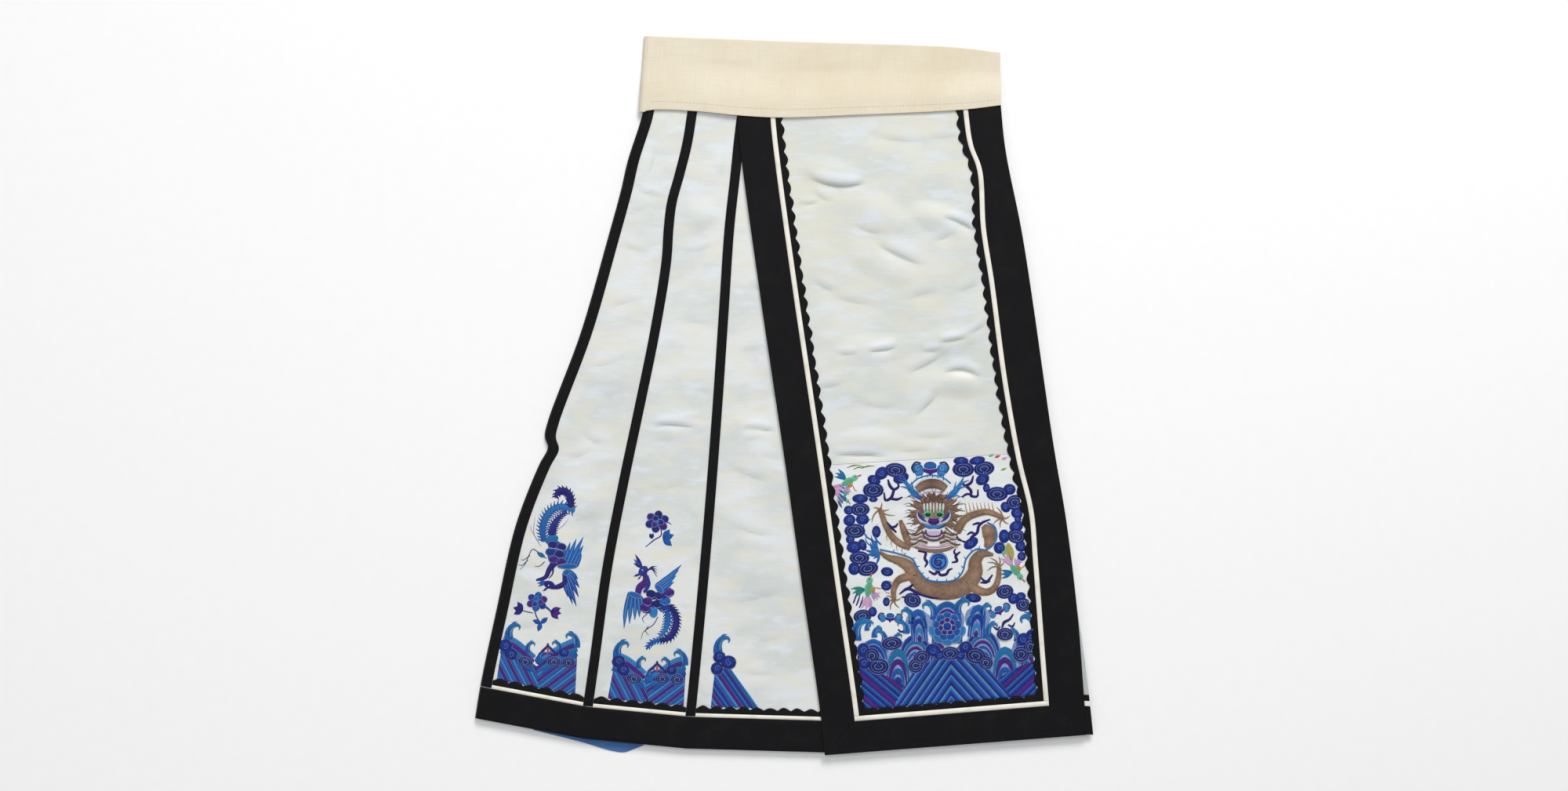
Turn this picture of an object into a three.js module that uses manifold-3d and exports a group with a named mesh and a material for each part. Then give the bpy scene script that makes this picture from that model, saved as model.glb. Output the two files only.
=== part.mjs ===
// A horse-face skirt of satin with black bands, laid flat and folded in half.
// Millimetres, +Z up. The skirt lies on z = 0 with its waistband towards +Y. The origin is
// under the middle of the laid skirt. Every piece of cloth is its own closed wall. The layers
// that the fold hides share one stack, and the pieces that show lie on it one above another.
import * as THREE from 'three';
import { mergeVertices } from 'three/addons/utils/BufferGeometryUtils.js';
import Module from 'manifold-3d';

const wasm = await Module();
wasm.setup();

// Cloth
const satinThickness = 1.2; // satin with its lining
const trimThickness = 1.0;
const waistbandThickness = 2.0; // cotton, doubled
const liningThickness = 1.6;
const seamGap = 0.3;

// Widths of the bands and trims
const goreBandWidth = 12.5;
const goreHemHeight = 41.5;
const gorePipingWidth = 4.6;
const goreScallopWidth = 6;
const faceBorderWidth = 43;
const faceHemHeight = 41;
const facePipingWidth = 6;
const faceScallopWidth = 6.5;
const scallopRise = 3;
const scallopPitch = 19;
const bandFootGap = 1; // between a narrow band's foot and the hem band
const underTuck = 32; // how far the last gore reaches under the face
const blockTopShare = 0.5545; // where the embroidered block starts, down the face
const edgeInset = 0.6; // a trim lies this far inside the panel's cut edge

// Levels, counted up through the stack
const stackHeight = 5.2;
const goreLevel = stackHeight + seamGap;
const goreTrimLevel = goreLevel + satinThickness + seamGap;
const faceLevel = goreTrimLevel + trimThickness + seamGap;
const faceTrimLevel = faceLevel + satinThickness + seamGap;
const waistbandLevel = faceTrimLevel + trimThickness + seamGap;
const plateauHeight = faceLevel - seamGap; // hidden layers under the face

// The fold at the left, an ellipse in section
const foldReach = 6;
const foldDrop = 4.5;
const foldClearance = 2.5; // between the turn of the fold and the layers inside it
const foldTurns = [0, 30, 60, 90];

// Lines of the laid skirt, from the waist down to the hem
const foldLine = rail([
  { x: -180, y: 377 }, { x: -184, y: 358 }, { x: -201, y: 305 }, { x: -210, y: 266 },
  { x: -227, y: 204 }, { x: -262, y: 82 }, { x: -305, y: -34 }, { x: -309, y: -53 },
  { x: -305, y: -68 }, { x: -317, y: -92 }, { x: -347, y: -170 }, { x: -372, y: -280 },
  { x: -392, y: -374 }, { x: -399.6, y: -420 },
]);
const secondSeam = rail([
  { x: -118, y: 377 }, { x: -126, y: 327 }, { x: -136, y: 287 }, { x: -146, y: 250 },
  { x: -150, y: 217 }, { x: -153, y: 174 }, { x: -168, y: 82 }, { x: -190, y: -25 },
  { x: -209, y: -115 }, { x: -230, y: -225 }, { x: -246, y: -341 }, { x: -261, y: -446 },
]);
const thirdSeam = rail([
  { x: -54, y: 372 }, { x: -59, y: 330 }, { x: -63, y: 290 }, { x: -71, y: 217 },
  { x: -78, y: 113 }, { x: -88, y: -34 }, { x: -101, y: -198 }, { x: -121, y: -410 },
  { x: -127, y: -459 },
]);
const faceLeft = rail([
  { x: -61, y: 371.5 }, { x: -60, y: 350 }, { x: -53.5, y: 293 }, { x: -31.5, y: 134 },
  { x: 1.5, y: -89 }, { x: 23, y: -243 }, { x: 48, y: -419 }, { x: 53, y: -467.5 },
]);
const faceRight = rail([
  { x: 281, y: 384 }, { x: 287.5, y: 321 }, { x: 310.5, y: 204 }, { x: 349.5, y: -60 },
  { x: 367.5, y: -168 }, { x: 382.5, y: -295 }, { x: 388.5, y: -374 }, { x: 393.5, y: -441 },
]);
const borderRight = rail([ // inner edge of the right border, which kinks below the waist
  { x: 238, y: 381 }, { x: 245.5, y: 327 }, { x: 257.5, y: 293 }, { x: 262.5, y: 217 },
  { x: 273, y: 149 }, { x: 290, y: 21 }, { x: 308.5, y: -83 }, { x: 324.5, y: -151 },
  { x: 330, y: -214 }, { x: 340, y: -347 }, { x: 348, y: -444 },
]);
const lastSeam = shifted(faceLeft, faceRight, underTuck);

// Edges of the waistband, from the fold to the right end
const waistbandTop = rail([
  { x: -180, y: 467.5 }, { x: 20, y: 460 }, { x: 220, y: 453 }, { x: 281, y: 446 },
]);
const waistbandFoot = rail([
  { x: -187, y: 368.5 }, { x: -167, y: 371.5 }, { x: -116, y: 369.5 }, { x: -62, y: 364 },
  { x: -5, y: 361 }, { x: 85, y: 364 }, { x: 230, y: 371 }, { x: 281.5, y: 377 },
]);

// The edge of the layer below, which slips out at the right of the hem
const underEdge = rail([
  { x: 379, y: -262 }, { x: 389, y: -330 }, { x: 396, y: -385 }, { x: 402, y: -441 },
]);
const underEdgeInner = rail([
  { x: 360, y: -262 }, { x: 366, y: -330 }, { x: 371, y: -385 }, { x: 376, y: -440 },
]);
const underHemHeight = 37;
const underPipingWidth = 6.5;
const underScallopWidth = 8;

// The corner of lining that slips out below the hem, from left to right
const liningCorner = [
  { x: -326, y: -435.5 }, { x: -210, y: -464.5 }, { x: -205, y: -463.5 }, { x: -183, y: -455.5 },
];
const liningEnds = { left: -331, right: -181 };

// The largest folds. Each is a low oval ridge: its middle, its turn in degrees, and its size.
const faceFolds = [
  { x: 66, y: 284, turn: -22, length: 108, width: 52, height: 3.2 },
  { x: 128, y: 236, turn: -30, length: 100, width: 54, height: 2.6 },
  { x: 200, y: 226, turn: -20, length: 80, width: 48, height: 2.8 },
  { x: 124, y: 172, turn: -26, length: 110, width: 50, height: 2.2 },
  { x: 112, y: 56, turn: 7, length: 124, width: 46, height: 2.8 },
  { x: 212, y: 68, turn: 12, length: 96, width: 44, height: 2.6 },
  { x: 222, y: 14, turn: -4, length: 90, width: 46, height: 3 },
  { x: 112, y: -58, turn: -2, length: 96, width: 40, height: 2 },
];
const goreFolds = [
  { x: -108, y: 236, turn: 10, length: 58, width: 56, height: 1.8 },
  { x: -229, y: 24, turn: 14, length: 74, width: 60, height: 1.8 },
  { x: -141, y: -40, turn: 2, length: 80, width: 56, height: 2.4 },
  { x: -45, y: -48, turn: -5, length: 66, width: 56, height: 2 },
  { x: -252, y: -140, turn: -10, length: 66, width: 60, height: 1.6 },
  { x: -40, y: -232, turn: -18, length: 84, width: 70, height: 2 },
];

// A smooth line through its points, read by its length
function rail(points) {
  const curve = new THREE.CatmullRomCurve3(
    points.map(({ x, y }) => new THREE.Vector3(x, y, 0)), false, 'centripetal',
  );
  curve.arcLengthDivisions = 400;
  return curve;
}

// A line beside another, the same distance from it all the way towards a third
function shifted(line, towards, distance) {
  const steps = 12;
  return rail(evenly(steps).map((share) => {
    const from = line.getPointAt(share);
    const way = towards.getPointAt(share).sub(from).normalize();
    return from.addScaledVector(way, distance);
  }));
}

function evenly(count, first = 0, last = 1) {
  return Array.from({ length: count + 1 }, (_, i) => first + (last - first) * (i / count));
}

// Places down or across a panel: a share of the whole, and an offset in millimetres
const place = (share, offset = 0) => ({ share, offset });
const places = (count, first, last) => evenly(count).map((share) => place(
  THREE.MathUtils.lerp(first.share, last.share, share),
  THREE.MathUtils.lerp(first.offset, last.offset, share),
));
const foldPlaces = foldTurns.map((degrees) => ({ share: 0, offset: 0, degrees }));

// The height that the folds add at a point
function lift(folds, x, y) {
  return folds.reduce((sum, fold) => {
    const angle = THREE.MathUtils.degToRad(fold.turn);
    const dx = x - fold.x;
    const dy = y - fold.y;
    const along = (dx * Math.cos(angle) + dy * Math.sin(angle)) / (fold.length / 2);
    const across = (dy * Math.cos(angle) - dx * Math.sin(angle)) / (fold.width / 2);
    const inside = Math.max(0, 1 - along * along - across * across);
    return sum + fold.height * inside * inside;
  }, 0);
}

// The points and outward normals of a sheet between two lines, row by row
function sheet(left, right, rows, columns, level, folds = []) {
  const at = (line, row) => line.getPointAt(
    THREE.MathUtils.clamp(row.share + row.offset / line.getLength(), 0, 1),
  );
  return rows.map((row) => {
    const a = at(left, row);
    const b = at(right, row);
    const width = a.distanceTo(b);
    const way = b.clone().sub(a).normalize();
    return columns.map((column) => {
      const turn = THREE.MathUtils.degToRad(column.degrees ?? 90);
      const folded = column.degrees !== undefined;
      const inward = folded
        ? foldReach * (1 - Math.cos(turn))
        : column.share * width + column.offset;
      const point = a.clone().addScaledVector(way, inward);
      point.z = level - foldDrop * (1 - Math.sin(turn)) + lift(folds, point.x, point.y);
      const normal = way.clone().multiplyScalar(-Math.cos(turn));
      normal.z = Math.sin(turn);
      return { point, normal };
    });
  });
}

// A closed wall on a sheet's points, moved out along its normals
function wall(grid, thickness, below = 0) {
  const rows = grid.length;
  const columns = grid[0].length;
  const positions = [];
  for (const distance of [below, below + thickness]) {
    for (const { point, normal } of grid.flat()) {
      positions.push(...point.clone().addScaledVector(normal, distance).toArray());
    }
  }
  const under = (i, j) => i * columns + j;
  const over = (i, j) => rows * columns + under(i, j);
  const faces = [];
  const quad = (a, b, c, d) => faces.push(a, b, c, a, c, d);
  for (let i = 0; i < rows - 1; i++) {
    for (let j = 0; j < columns - 1; j++) {
      quad(over(i, j), over(i + 1, j), over(i + 1, j + 1), over(i, j + 1));
      quad(under(i, j), under(i, j + 1), under(i + 1, j + 1), under(i + 1, j));
    }
  }
  const down = [...Array(rows).keys()];
  const across = [...Array(columns).keys()];
  const rim = [
    ...down.map((i) => [i, 0]),
    ...across.slice(1).map((j) => [rows - 1, j]),
    ...down.toReversed().slice(1).map((i) => [i, columns - 1]),
    ...across.toReversed().slice(1, -1).map((j) => [0, j]),
  ];
  rim.forEach(([i, j], k) => {
    const [m, n] = rim[(k + 1) % rim.length];
    quad(under(i, j), under(m, n), over(m, n), over(i, j));
  });
  return geometry(positions, faces);
}

function geometry(positions, faces) {
  const made = new THREE.BufferGeometry();
  made.setAttribute('position', new THREE.Float32BufferAttribute(positions, 3));
  made.setIndex(faces);
  made.computeVertexNormals();
  return made;
}

// The grid of a scalloped trim. Each station along it has a spot on its straight edge, one in
// the dip between two scallops, and one at a scallop's full reach.
function scalloped(stations) {
  const mixed = (a, b, share) => ({
    point: a.point.clone().lerp(b.point, share),
    normal: a.normal.clone().lerp(b.normal, share).normalize(),
  });
  return stations.flatMap(([base, dip, reach], i) => {
    const next = stations[i + 1];
    const crest = (share) => [mixed(base, next[0], share), mixed(reach, next[2], share)];
    return next ? [[base, dip], crest(0.3), crest(0.7)] : [[base, dip]];
  });
}

// An outline moved inwards, point by point
function inset(outline, distance) {
  const count = outline.length;
  return outline.map((point, i) => {
    const before = outline[(i + count - 1) % count];
    const after = outline[(i + 1) % count];
    const way = after.clone().sub(before).normalize();
    return new THREE.Vector2(point.x - way.y * distance, point.y + way.x * distance);
  });
}

// A closed solid through rings of one outline, from the floor up
function stacked(outline, rings) {
  const count = outline.length;
  const positions = [];
  for (const ring of rings) {
    for (const point of inset(outline, ring.inset)) positions.push(point.x, point.y, ring.z);
  }
  const faces = [];
  for (let k = 0; k < rings.length - 1; k++) {
    for (let i = 0; i < count; i++) {
      const low = k * count + i;
      const lowNext = k * count + ((i + 1) % count);
      faces.push(low, lowNext, lowNext + count, low, lowNext + count, low + count);
    }
  }
  const last = (rings.length - 1) * count;
  for (const [a, b, c] of THREE.ShapeUtils.triangulateShape(inset(outline, rings[0].inset), [])) {
    faces.push(a, c, b);
  }
  for (const [a, b, c] of THREE.ShapeUtils.triangulateShape(inset(outline, rings.at(-1).inset), [])) {
    faces.push(last + a, last + b, last + c);
  }
  return geometry(positions, faces);
}

// Rings that give a stack the rounded edges of its layers, each set back by its own step
function layerRings(height, steps) {
  const layer = height / steps.length;
  const groove = 1.1;
  const rings = steps.flatMap((step, k) => [
    { z: k * layer, inset: step + (k === 0 ? 0.4 : groove) },
    { z: (k + 0.3) * layer, inset: step },
    { z: (k + 0.75) * layer, inset: step },
  ]);
  return [...rings, { z: height, inset: steps.at(-1) + 0.6 }];
}

function along(line, count, first = 0, last = 1) {
  return evenly(count, first, last).map((share) => {
    const point = line.getPointAt(share);
    return new THREE.Vector2(point.x, point.y);
  });
}

// Joins two closed shapes into one solid
function joined(first, second) {
  const solids = [first, second].map((shape) => {
    const bare = shape.clone();
    bare.deleteAttribute('normal');
    const merged = mergeVertices(bare, 1e-4);
    return new wasm.Manifold(new wasm.Mesh({
      numProp: 3,
      vertProperties: merged.attributes.position.array,
      triVerts: new Uint32Array(merged.index.array),
    }));
  });
  const mesh = solids[0].add(solids[1]).getMesh();
  return geometry(Array.from(mesh.vertProperties), Array.from(mesh.triVerts));
}

// Colours and finishes
const cloth = (colour, roughness) => new THREE.MeshStandardMaterial({
  color: colour, roughness, metalness: 0, side: THREE.DoubleSide,
});
const ivorySatin = cloth(0xe2e5dd, 0.35);
const blackSatin = cloth(0x1c1b1e, 0.6);
const creamPiping = cloth(0xeceade, 0.55);
const waistbandCotton = cloth(0xeee2cb, 0.9);
const blueLining = cloth(0x3f6da8, 0.5);
const innerCloth = cloth(0xd9dbd4, 0.8);

const skirt = new THREE.Group();

function add(name, shape, material) {
  const mesh = new THREE.Mesh(shape, material);
  mesh.name = name;
  skirt.add(mesh);
}

const addSatin = (name, grid) => add(name, wall(grid, satinThickness), ivorySatin);
const addTrim = (name, grid, material, below = 0) => add(
  name, wall(grid, trimThickness, below), material,
);

// The layers hidden by the fold, with the raised part that the face lies on, and the lining
function hiddenLayers() {
  const hemSetBack = 4.5;
  const steps = [0.4, 2.2, 0.9];
  const hemOf = (line, setBack) => {
    const point = line.getPointAt(1 - setBack / line.getLength());
    return new THREE.Vector2(point.x, point.y);
  };
  const inner = shifted(foldLine, secondSeam, foldReach + foldClearance);
  const outline = [
    ...along(inner, 14, 0.03, 1 - (hemSetBack + 1) / inner.getLength()),
    hemOf(secondSeam, hemSetBack),
    hemOf(thirdSeam, hemSetBack),
    hemOf(lastSeam, hemSetBack),
    hemOf(borderRight, hemSetBack + 2),
    hemOf(faceRight, hemSetBack + 2),
    ...along(underEdge, 3, 0.9, 0.1).map((p) => p.setX(p.x - 3)),
    ...along(faceRight, 6, 0.7, 0.05).map((p) => p.setX(p.x - 3)),
    ...along(waistbandFoot, 6, 0.985, 0.035).map((p) => p.setY(p.y - 0.6)),
  ];
  const stack = stacked(outline, layerRings(stackHeight, steps));
  const plateau = stacked([
    ...along(shifted(faceLeft, faceRight, underTuck + 4), 6, 0.02, 0.99),
    ...along(shifted(faceRight, faceLeft, 27), 6, 0.99, 0.02),
  ], [
    { z: stackHeight / 2, inset: 0 },
    { z: plateauHeight - 0.5, inset: 0 },
    { z: plateauHeight, inset: 0.5 },
  ]);
  add('hidden_layers', joined(stack, plateau), innerCloth);

  // The lining's corner lies on the floor, close against the stack under the hem.
  const liningSetBack = hemSetBack - 0.1;
  const seamHem = hemOf(secondSeam, liningSetBack);
  const hemAt = (x, end) => {
    const share = (x - seamHem.x) / (end.x - seamHem.x);
    return seamHem.clone().lerp(end, share);
  };
  const corner = [
    hemAt(liningEnds.left, hemOf(inner, liningSetBack + 1)),
    ...liningCorner.map(({ x, y }) => new THREE.Vector2(x, y)),
    hemAt(liningEnds.right, hemOf(thirdSeam, liningSetBack)),
    seamHem,
  ];
  add('lining_corner', stacked(corner, [
    { z: 0, inset: 0.2 },
    { z: 0.4, inset: 0 },
    { z: liningThickness - 0.4, inset: 0 },
    { z: liningThickness, inset: 0.3 },
  ]), blueLining);
}

function waistband() {
  // The band lies low at its top edge and rises over the tops of the panels.
  const { lerp, smoothstep, degToRad } = THREE.MathUtils;
  const head = stackHeight + seamGap + 0.4;
  const overGores = goreTrimLevel + trimThickness + seamGap;
  const rise = (down, across) => {
    const foot = lerp(overGores, waistbandLevel, smoothstep(across, 0.1, 0.24));
    return lerp(head, foot, smoothstep(down, 0.35, 0.82));
  };
  const columns = [
    ...foldTurns.map((degrees) => ({ degrees, share: 0 })),
    ...evenly(16, 0.035, 1).map((share) => ({ degrees: 90, share })),
  ];
  const downwards = [0, 0.3, 0.42, 0.54, 0.66, 0.78, 0.88, 1];
  const grid = downwards.map((down) => columns.map(({ degrees, share }) => {
    const turn = degToRad(degrees);
    const point = waistbandTop.getPointAt(share).lerp(waistbandFoot.getPointAt(share), down);
    if (share === 0) point.x += foldReach * (1 - Math.cos(turn));
    point.z = rise(down, share) - foldDrop * (1 - Math.sin(turn));
    return { point, normal: new THREE.Vector3(-Math.cos(turn), 0, Math.sin(turn)) };
  }));
  add('waistband_front', wall(grid, waistbandThickness), waistbandCotton);

  const outline = [
    ...along(waistbandFoot, 8, 0.02, 0.99).map((p) => p.setY(p.y + 0.6)),
    ...along(waistbandTop, 6, 0.99, 0.03).map((p) => p.setY(p.y - 1.5)),
  ];
  outline[0].x += foldReach + 1;
  outline.at(-1).x += foldReach;
  add('waistband_inside', stacked(outline, layerRings(stackHeight, [0.6, 2, 1])), waistbandCotton);
}

function gores() {
  const bandHalf = goreBandWidth / 2;
  const half = seamGap / 2;
  const runRows = places(27, place(0), place(1, -(goreHemHeight + bandFootGap)));
  const hemRows = places(2, place(1, -goreHemHeight), place(1));
  const rows = [...runRows, hemRows[1], place(1, -edgeInset)];
  const panels = [
    { left: foldLine, right: secondSeam,
      columns: [...foldPlaces, ...places(6, place(0, foldReach + 7), place(1, -half))] },
    { left: secondSeam, right: thirdSeam, columns: places(7, place(0, half), place(1, -half)) },
    { left: thirdSeam, right: lastSeam, columns: places(7, place(0, half), place(1, -half)) },
  ];
  panels.forEach(({ left, right, columns }, k) => {
    addSatin(`gore_${k + 1}`, sheet(left, right, rows, columns, goreLevel, goreFolds));
  });

  // A narrow band covers each seam, and the first one turns over the fold.
  const trimBase = goreTrimLevel - goreLevel;
  const foldBand = [...foldPlaces, place(0, goreBandWidth)];
  const seamBand = [place(0, -bandHalf), place(0, bandHalf)];
  addTrim('gore_band_1', sheet(foldLine, secondSeam, runRows, foldBand, goreLevel), blackSatin,
    trimBase);
  addTrim('gore_band_2', sheet(secondSeam, thirdSeam, runRows, seamBand, goreTrimLevel), blackSatin);
  addTrim('gore_band_3', sheet(thirdSeam, lastSeam, runRows, seamBand, goreTrimLevel), blackSatin);

  // The hem band turns over the fold too.
  const hemColumns = [
    [...foldPlaces, ...places(4, place(0, 14), place(1))],
    places(5, place(0), place(1)),
    places(5, place(0), place(1)),
  ];
  const hemParts = panels.map(({ left, right }, k) => (
    sheet(left, right, hemRows, hemColumns[k], goreLevel)
  ));
  const hem = hemRows.map((_, i) => hemParts.flatMap((part, k) => part[i].slice(k === 0 ? 0 : 1)));
  addTrim('gore_hem_band', hem, blackSatin, trimBase);

  // Piping and scalloped trim fill the stretches between the bands.
  const besideBand = bandHalf + seamGap;
  const stretches = [
    { first: goreBandWidth + seamGap, last: -besideBand },
    { first: besideBand, last: -besideBand },
    { first: besideBand, last: 0 },
  ];
  const pipingFoot = goreHemHeight + seamGap;
  const scallopFoot = pipingFoot + gorePipingWidth + seamGap;
  stretches.forEach(({ first, last }, k) => {
    const { left, right } = panels[k];
    const length = left.getPointAt(1).distanceTo(right.getPointAt(1)) - first + last;
    const columns = places(Math.round(length / scallopPitch), place(0, first), place(1, last));
    const strip = (...offsets) => sheet(
      left, right, offsets.map((offset) => place(1, -offset)), columns, goreTrimLevel,
    );
    addTrim(`gore_piping_${k + 1}`, strip(pipingFoot + gorePipingWidth, pipingFoot), creamPiping);
    const dip = scallopFoot + goreScallopWidth;
    const lines = strip(scallopFoot, dip, dip + scallopRise);
    const stations = columns.map((_, j) => lines.map((line) => line[j]));
    addTrim(`gore_scallop_${k + 1}`, scalloped(stations), blackSatin);
  });
}

function face() {
  const hemFoot = faceHemHeight + seamGap; // where the hem's piping starts
  const scallopFoot = hemFoot + facePipingWidth + seamGap;
  const reach = faceScallopWidth + scallopRise;

  // The panel, cut in two where the embroidered block starts
  const upperColumns = [
    place(0), place(0, faceBorderWidth + facePipingWidth),
    ...places(12, place(0, 60), place(1, -62)),
    place(1, -46), place(1),
  ];
  const upperRows = places(24, place(0), place(blockTopShare, -seamGap / 2));
  const blockRows = places(7, place(blockTopShare, seamGap / 2), place(1, -edgeInset));
  addSatin('face_upper', sheet(faceLeft, faceRight, upperRows, upperColumns, faceLevel, faceFolds));
  addSatin('face_block',
    sheet(faceLeft, faceRight, blockRows, places(6, place(0), place(1)), faceLevel));

  // Borders, mitred at the lower corners
  const bumps = Math.round((faceLeft.getLength() - scallopFoot) / scallopPitch);
  const sideRows = places(bumps, place(0), place(1, -scallopFoot));
  const inHem = [place(1, -faceHemHeight)];
  const atHem = [place(1)];
  const onTrim = (left, right, rows, columns) => sheet(left, right, rows, columns, faceTrimLevel);
  const leftColumns = [place(0), place(0, faceBorderWidth)];
  const rightColumns = [place(0), place(1)];
  const leftMitre = [
    onTrim(faceLeft, faceRight, atHem, leftColumns)[0][0],
    onTrim(faceLeft, faceRight, inHem, leftColumns)[0][1],
  ];
  const rightMitre = [
    onTrim(borderRight, faceRight, inHem, rightColumns)[0][0],
    onTrim(borderRight, faceRight, atHem, rightColumns)[0][1],
  ];
  addTrim('face_border_left',
    [...onTrim(faceLeft, faceRight, sideRows, leftColumns), leftMitre], blackSatin);
  addTrim('face_border_right',
    [...onTrim(borderRight, faceRight, sideRows, rightColumns), rightMitre], blackSatin);
  const mitreGap = 0.5;
  addTrim('face_border_hem', [
    ...onTrim(faceLeft, borderRight, inHem,
      places(6, place(0, faceBorderWidth + mitreGap), place(1, -mitreGap))),
    ...onTrim(faceLeft, faceRight, atHem, places(6, place(0, mitreGap), place(1, -mitreGap))),
  ], blackSatin);

  // Piping inside the borders, and scalloped trim inside the piping. Those of the right side
  // are counted from its border towards the left, row by row up the skirt.
  const leftFirst = faceBorderWidth + seamGap;
  const pipingRows = [...sideRows, place(1, -hemFoot)];
  const pipingColumns = (first) => [place(0, first), place(0, first + facePipingWidth)];
  const scallopColumns = (first) => {
    const base = first + facePipingWidth + seamGap;
    return [place(0, base), place(0, base + faceScallopWidth), place(0, base + reach)];
  };
  addTrim('face_piping_left',
    onTrim(faceLeft, faceRight, pipingRows, pipingColumns(leftFirst)), creamPiping);
  addTrim('face_piping_right',
    onTrim(borderRight, faceLeft, pipingRows.toReversed(), pipingColumns(seamGap)), creamPiping);
  addTrim('face_scallop_left',
    scalloped(onTrim(faceLeft, faceRight, sideRows, scallopColumns(leftFirst))), blackSatin);
  addTrim('face_scallop_right',
    scalloped(onTrim(borderRight, faceLeft, sideRows.toReversed(), scallopColumns(seamGap))),
    blackSatin);

  const besidePiping = facePipingWidth + 2 * seamGap;
  const hemPiping = places(6, place(0, faceBorderWidth + besidePiping), place(1, -besidePiping));
  addTrim('face_piping_hem', onTrim(faceLeft, borderRight,
    [place(1, -(hemFoot + facePipingWidth)), place(1, -hemFoot)], hemPiping), creamPiping);
  const besideScallops = besidePiping + reach + seamGap;
  const hemBumps = 12;
  const hemStations = places(hemBumps,
    place(0, faceBorderWidth + besideScallops), place(1, -besideScallops));
  const dip = scallopFoot + faceScallopWidth;
  const lines = onTrim(faceLeft, borderRight,
    [scallopFoot, dip, dip + scallopRise].map((offset) => place(1, -offset)), hemStations);
  addTrim('face_scallop_hem',
    scalloped(hemStations.map((_, j) => lines.map((line) => line[j]))), blackSatin);
}

// The edge of the layer underneath, which slips out at the right
function underEdgePieces() {
  const strip = (level, ...rows) => sheet(
    underEdgeInner, underEdge, rows, places(2, place(0), place(1)), level,
  );
  const pipingFoot = underHemHeight + seamGap;
  const pipingHead = pipingFoot + underPipingWidth;
  const scallopFoot = pipingHead + seamGap;
  addSatin('under_gore_edge', strip(goreLevel, ...places(6, place(0), place(1, -edgeInset))));
  addTrim('under_hem_edge', strip(goreTrimLevel, place(1, -underHemHeight), place(1)), blackSatin);
  addTrim('under_piping_edge',
    strip(goreTrimLevel, place(1, -pipingHead), place(1, -pipingFoot)), creamPiping);
  addTrim('under_scallop_edge',
    strip(goreTrimLevel, place(1, -(scallopFoot + underScallopWidth)), place(1, -scallopFoot)),
    blackSatin);
}

hiddenLayers();
waistband();
gores();
face();
underEdgePieces();

export default skirt;
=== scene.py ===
import math

import bpy
import numpy as np
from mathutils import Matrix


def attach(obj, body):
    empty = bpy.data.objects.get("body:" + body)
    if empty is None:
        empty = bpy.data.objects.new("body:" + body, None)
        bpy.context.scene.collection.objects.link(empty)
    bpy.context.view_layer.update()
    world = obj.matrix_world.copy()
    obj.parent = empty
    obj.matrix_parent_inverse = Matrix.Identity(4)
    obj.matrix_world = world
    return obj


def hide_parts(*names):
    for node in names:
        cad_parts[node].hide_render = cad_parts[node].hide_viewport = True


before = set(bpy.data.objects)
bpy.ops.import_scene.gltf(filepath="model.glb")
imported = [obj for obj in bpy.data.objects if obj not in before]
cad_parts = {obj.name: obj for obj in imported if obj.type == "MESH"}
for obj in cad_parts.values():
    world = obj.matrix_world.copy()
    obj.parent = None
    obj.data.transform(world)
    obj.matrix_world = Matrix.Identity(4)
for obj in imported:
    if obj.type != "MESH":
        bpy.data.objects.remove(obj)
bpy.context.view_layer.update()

mm = 0.001
body = "root"

# Levels and walls of the laid skirt's layers, and how its fold turns, the same as its solids have
levels = {"stack": 5.2 * mm, "gap": 0.3 * mm, "satin": 1.2 * mm, "trim": 1.0 * mm, "waistband": 2.0 * mm}
levels["gore"] = levels["stack"] + levels["gap"]
levels["goreTrim"] = levels["gore"] + levels["satin"] + levels["gap"]
levels["face"] = levels["goreTrim"] + levels["trim"] + levels["gap"]
levels["faceTrim"] = levels["face"] + levels["satin"] + levels["gap"]
levels["band"] = levels["faceTrim"] + levels["trim"] + levels["gap"]
fold = {"reach": 6 * mm, "drop": 4.5 * mm}


def smoothLine(points, steps=24, closed=False):  # centripetal curve through its points
    if closed:
        knots = np.vstack([points[-1], points, points[:2]])
    else:
        knots = np.vstack([2 * points[0] - points[1], points, 2 * points[-1] - points[-2]])
    t = np.linspace(0, 1, steps, endpoint=False)[:, None]
    parts = []
    for a, b, c, d in zip(knots, knots[1:], knots[2:], knots[3:]):
        lengths = [np.linalg.norm(q - p) for p, q in ((a, b), (b, c), (c, d))]
        first, middle, last = np.sqrt(np.maximum(lengths, 1e-18))
        start = ((b - a) / first - (c - a) / (first + middle) + (c - b) / middle) * middle
        end = ((c - b) / middle - (d - b) / (middle + last) + (d - c) / last) * middle
        square, cube = 3 * (c - b) - 2 * start - end, 2 * (b - c) + start + end
        parts.append(b + start * t + square * t**2 + cube * t**3)
    return np.vstack(parts + [points[:1] if closed else points[-1:]])


class Rail:  # a smooth line that is read by its length
    def __init__(self, points):
        self.points = smoothLine(np.array(points, float))
        steps = np.linalg.norm(np.diff(self.points, axis=0), axis=1)
        self.reach = np.concatenate([[0], np.cumsum(steps)])
        self.length = self.reach[-1]

    def at(self, share, offset=0.0):
        along = np.clip(np.asarray(share) * self.length + offset, 0, self.length)
        return np.stack([np.interp(along, self.reach, self.points[:, k]) for k in (0, 1)], axis=-1)

    def across(self, y):  # where the line is at a height on the skirt
        return np.interp(-y, -self.points[:, 1], self.points[:, 0])

    def shifted(self, towards, distance, stations=13):
        shares = np.linspace(0, 1, stations)
        here, there = self.at(shares), towards.at(shares)
        way = (there - here) / np.linalg.norm(there - here, axis=1)[:, None]
        return Rail(here + way * distance)


def line(*points):
    return Rail(np.array(points, float) * mm)


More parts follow.
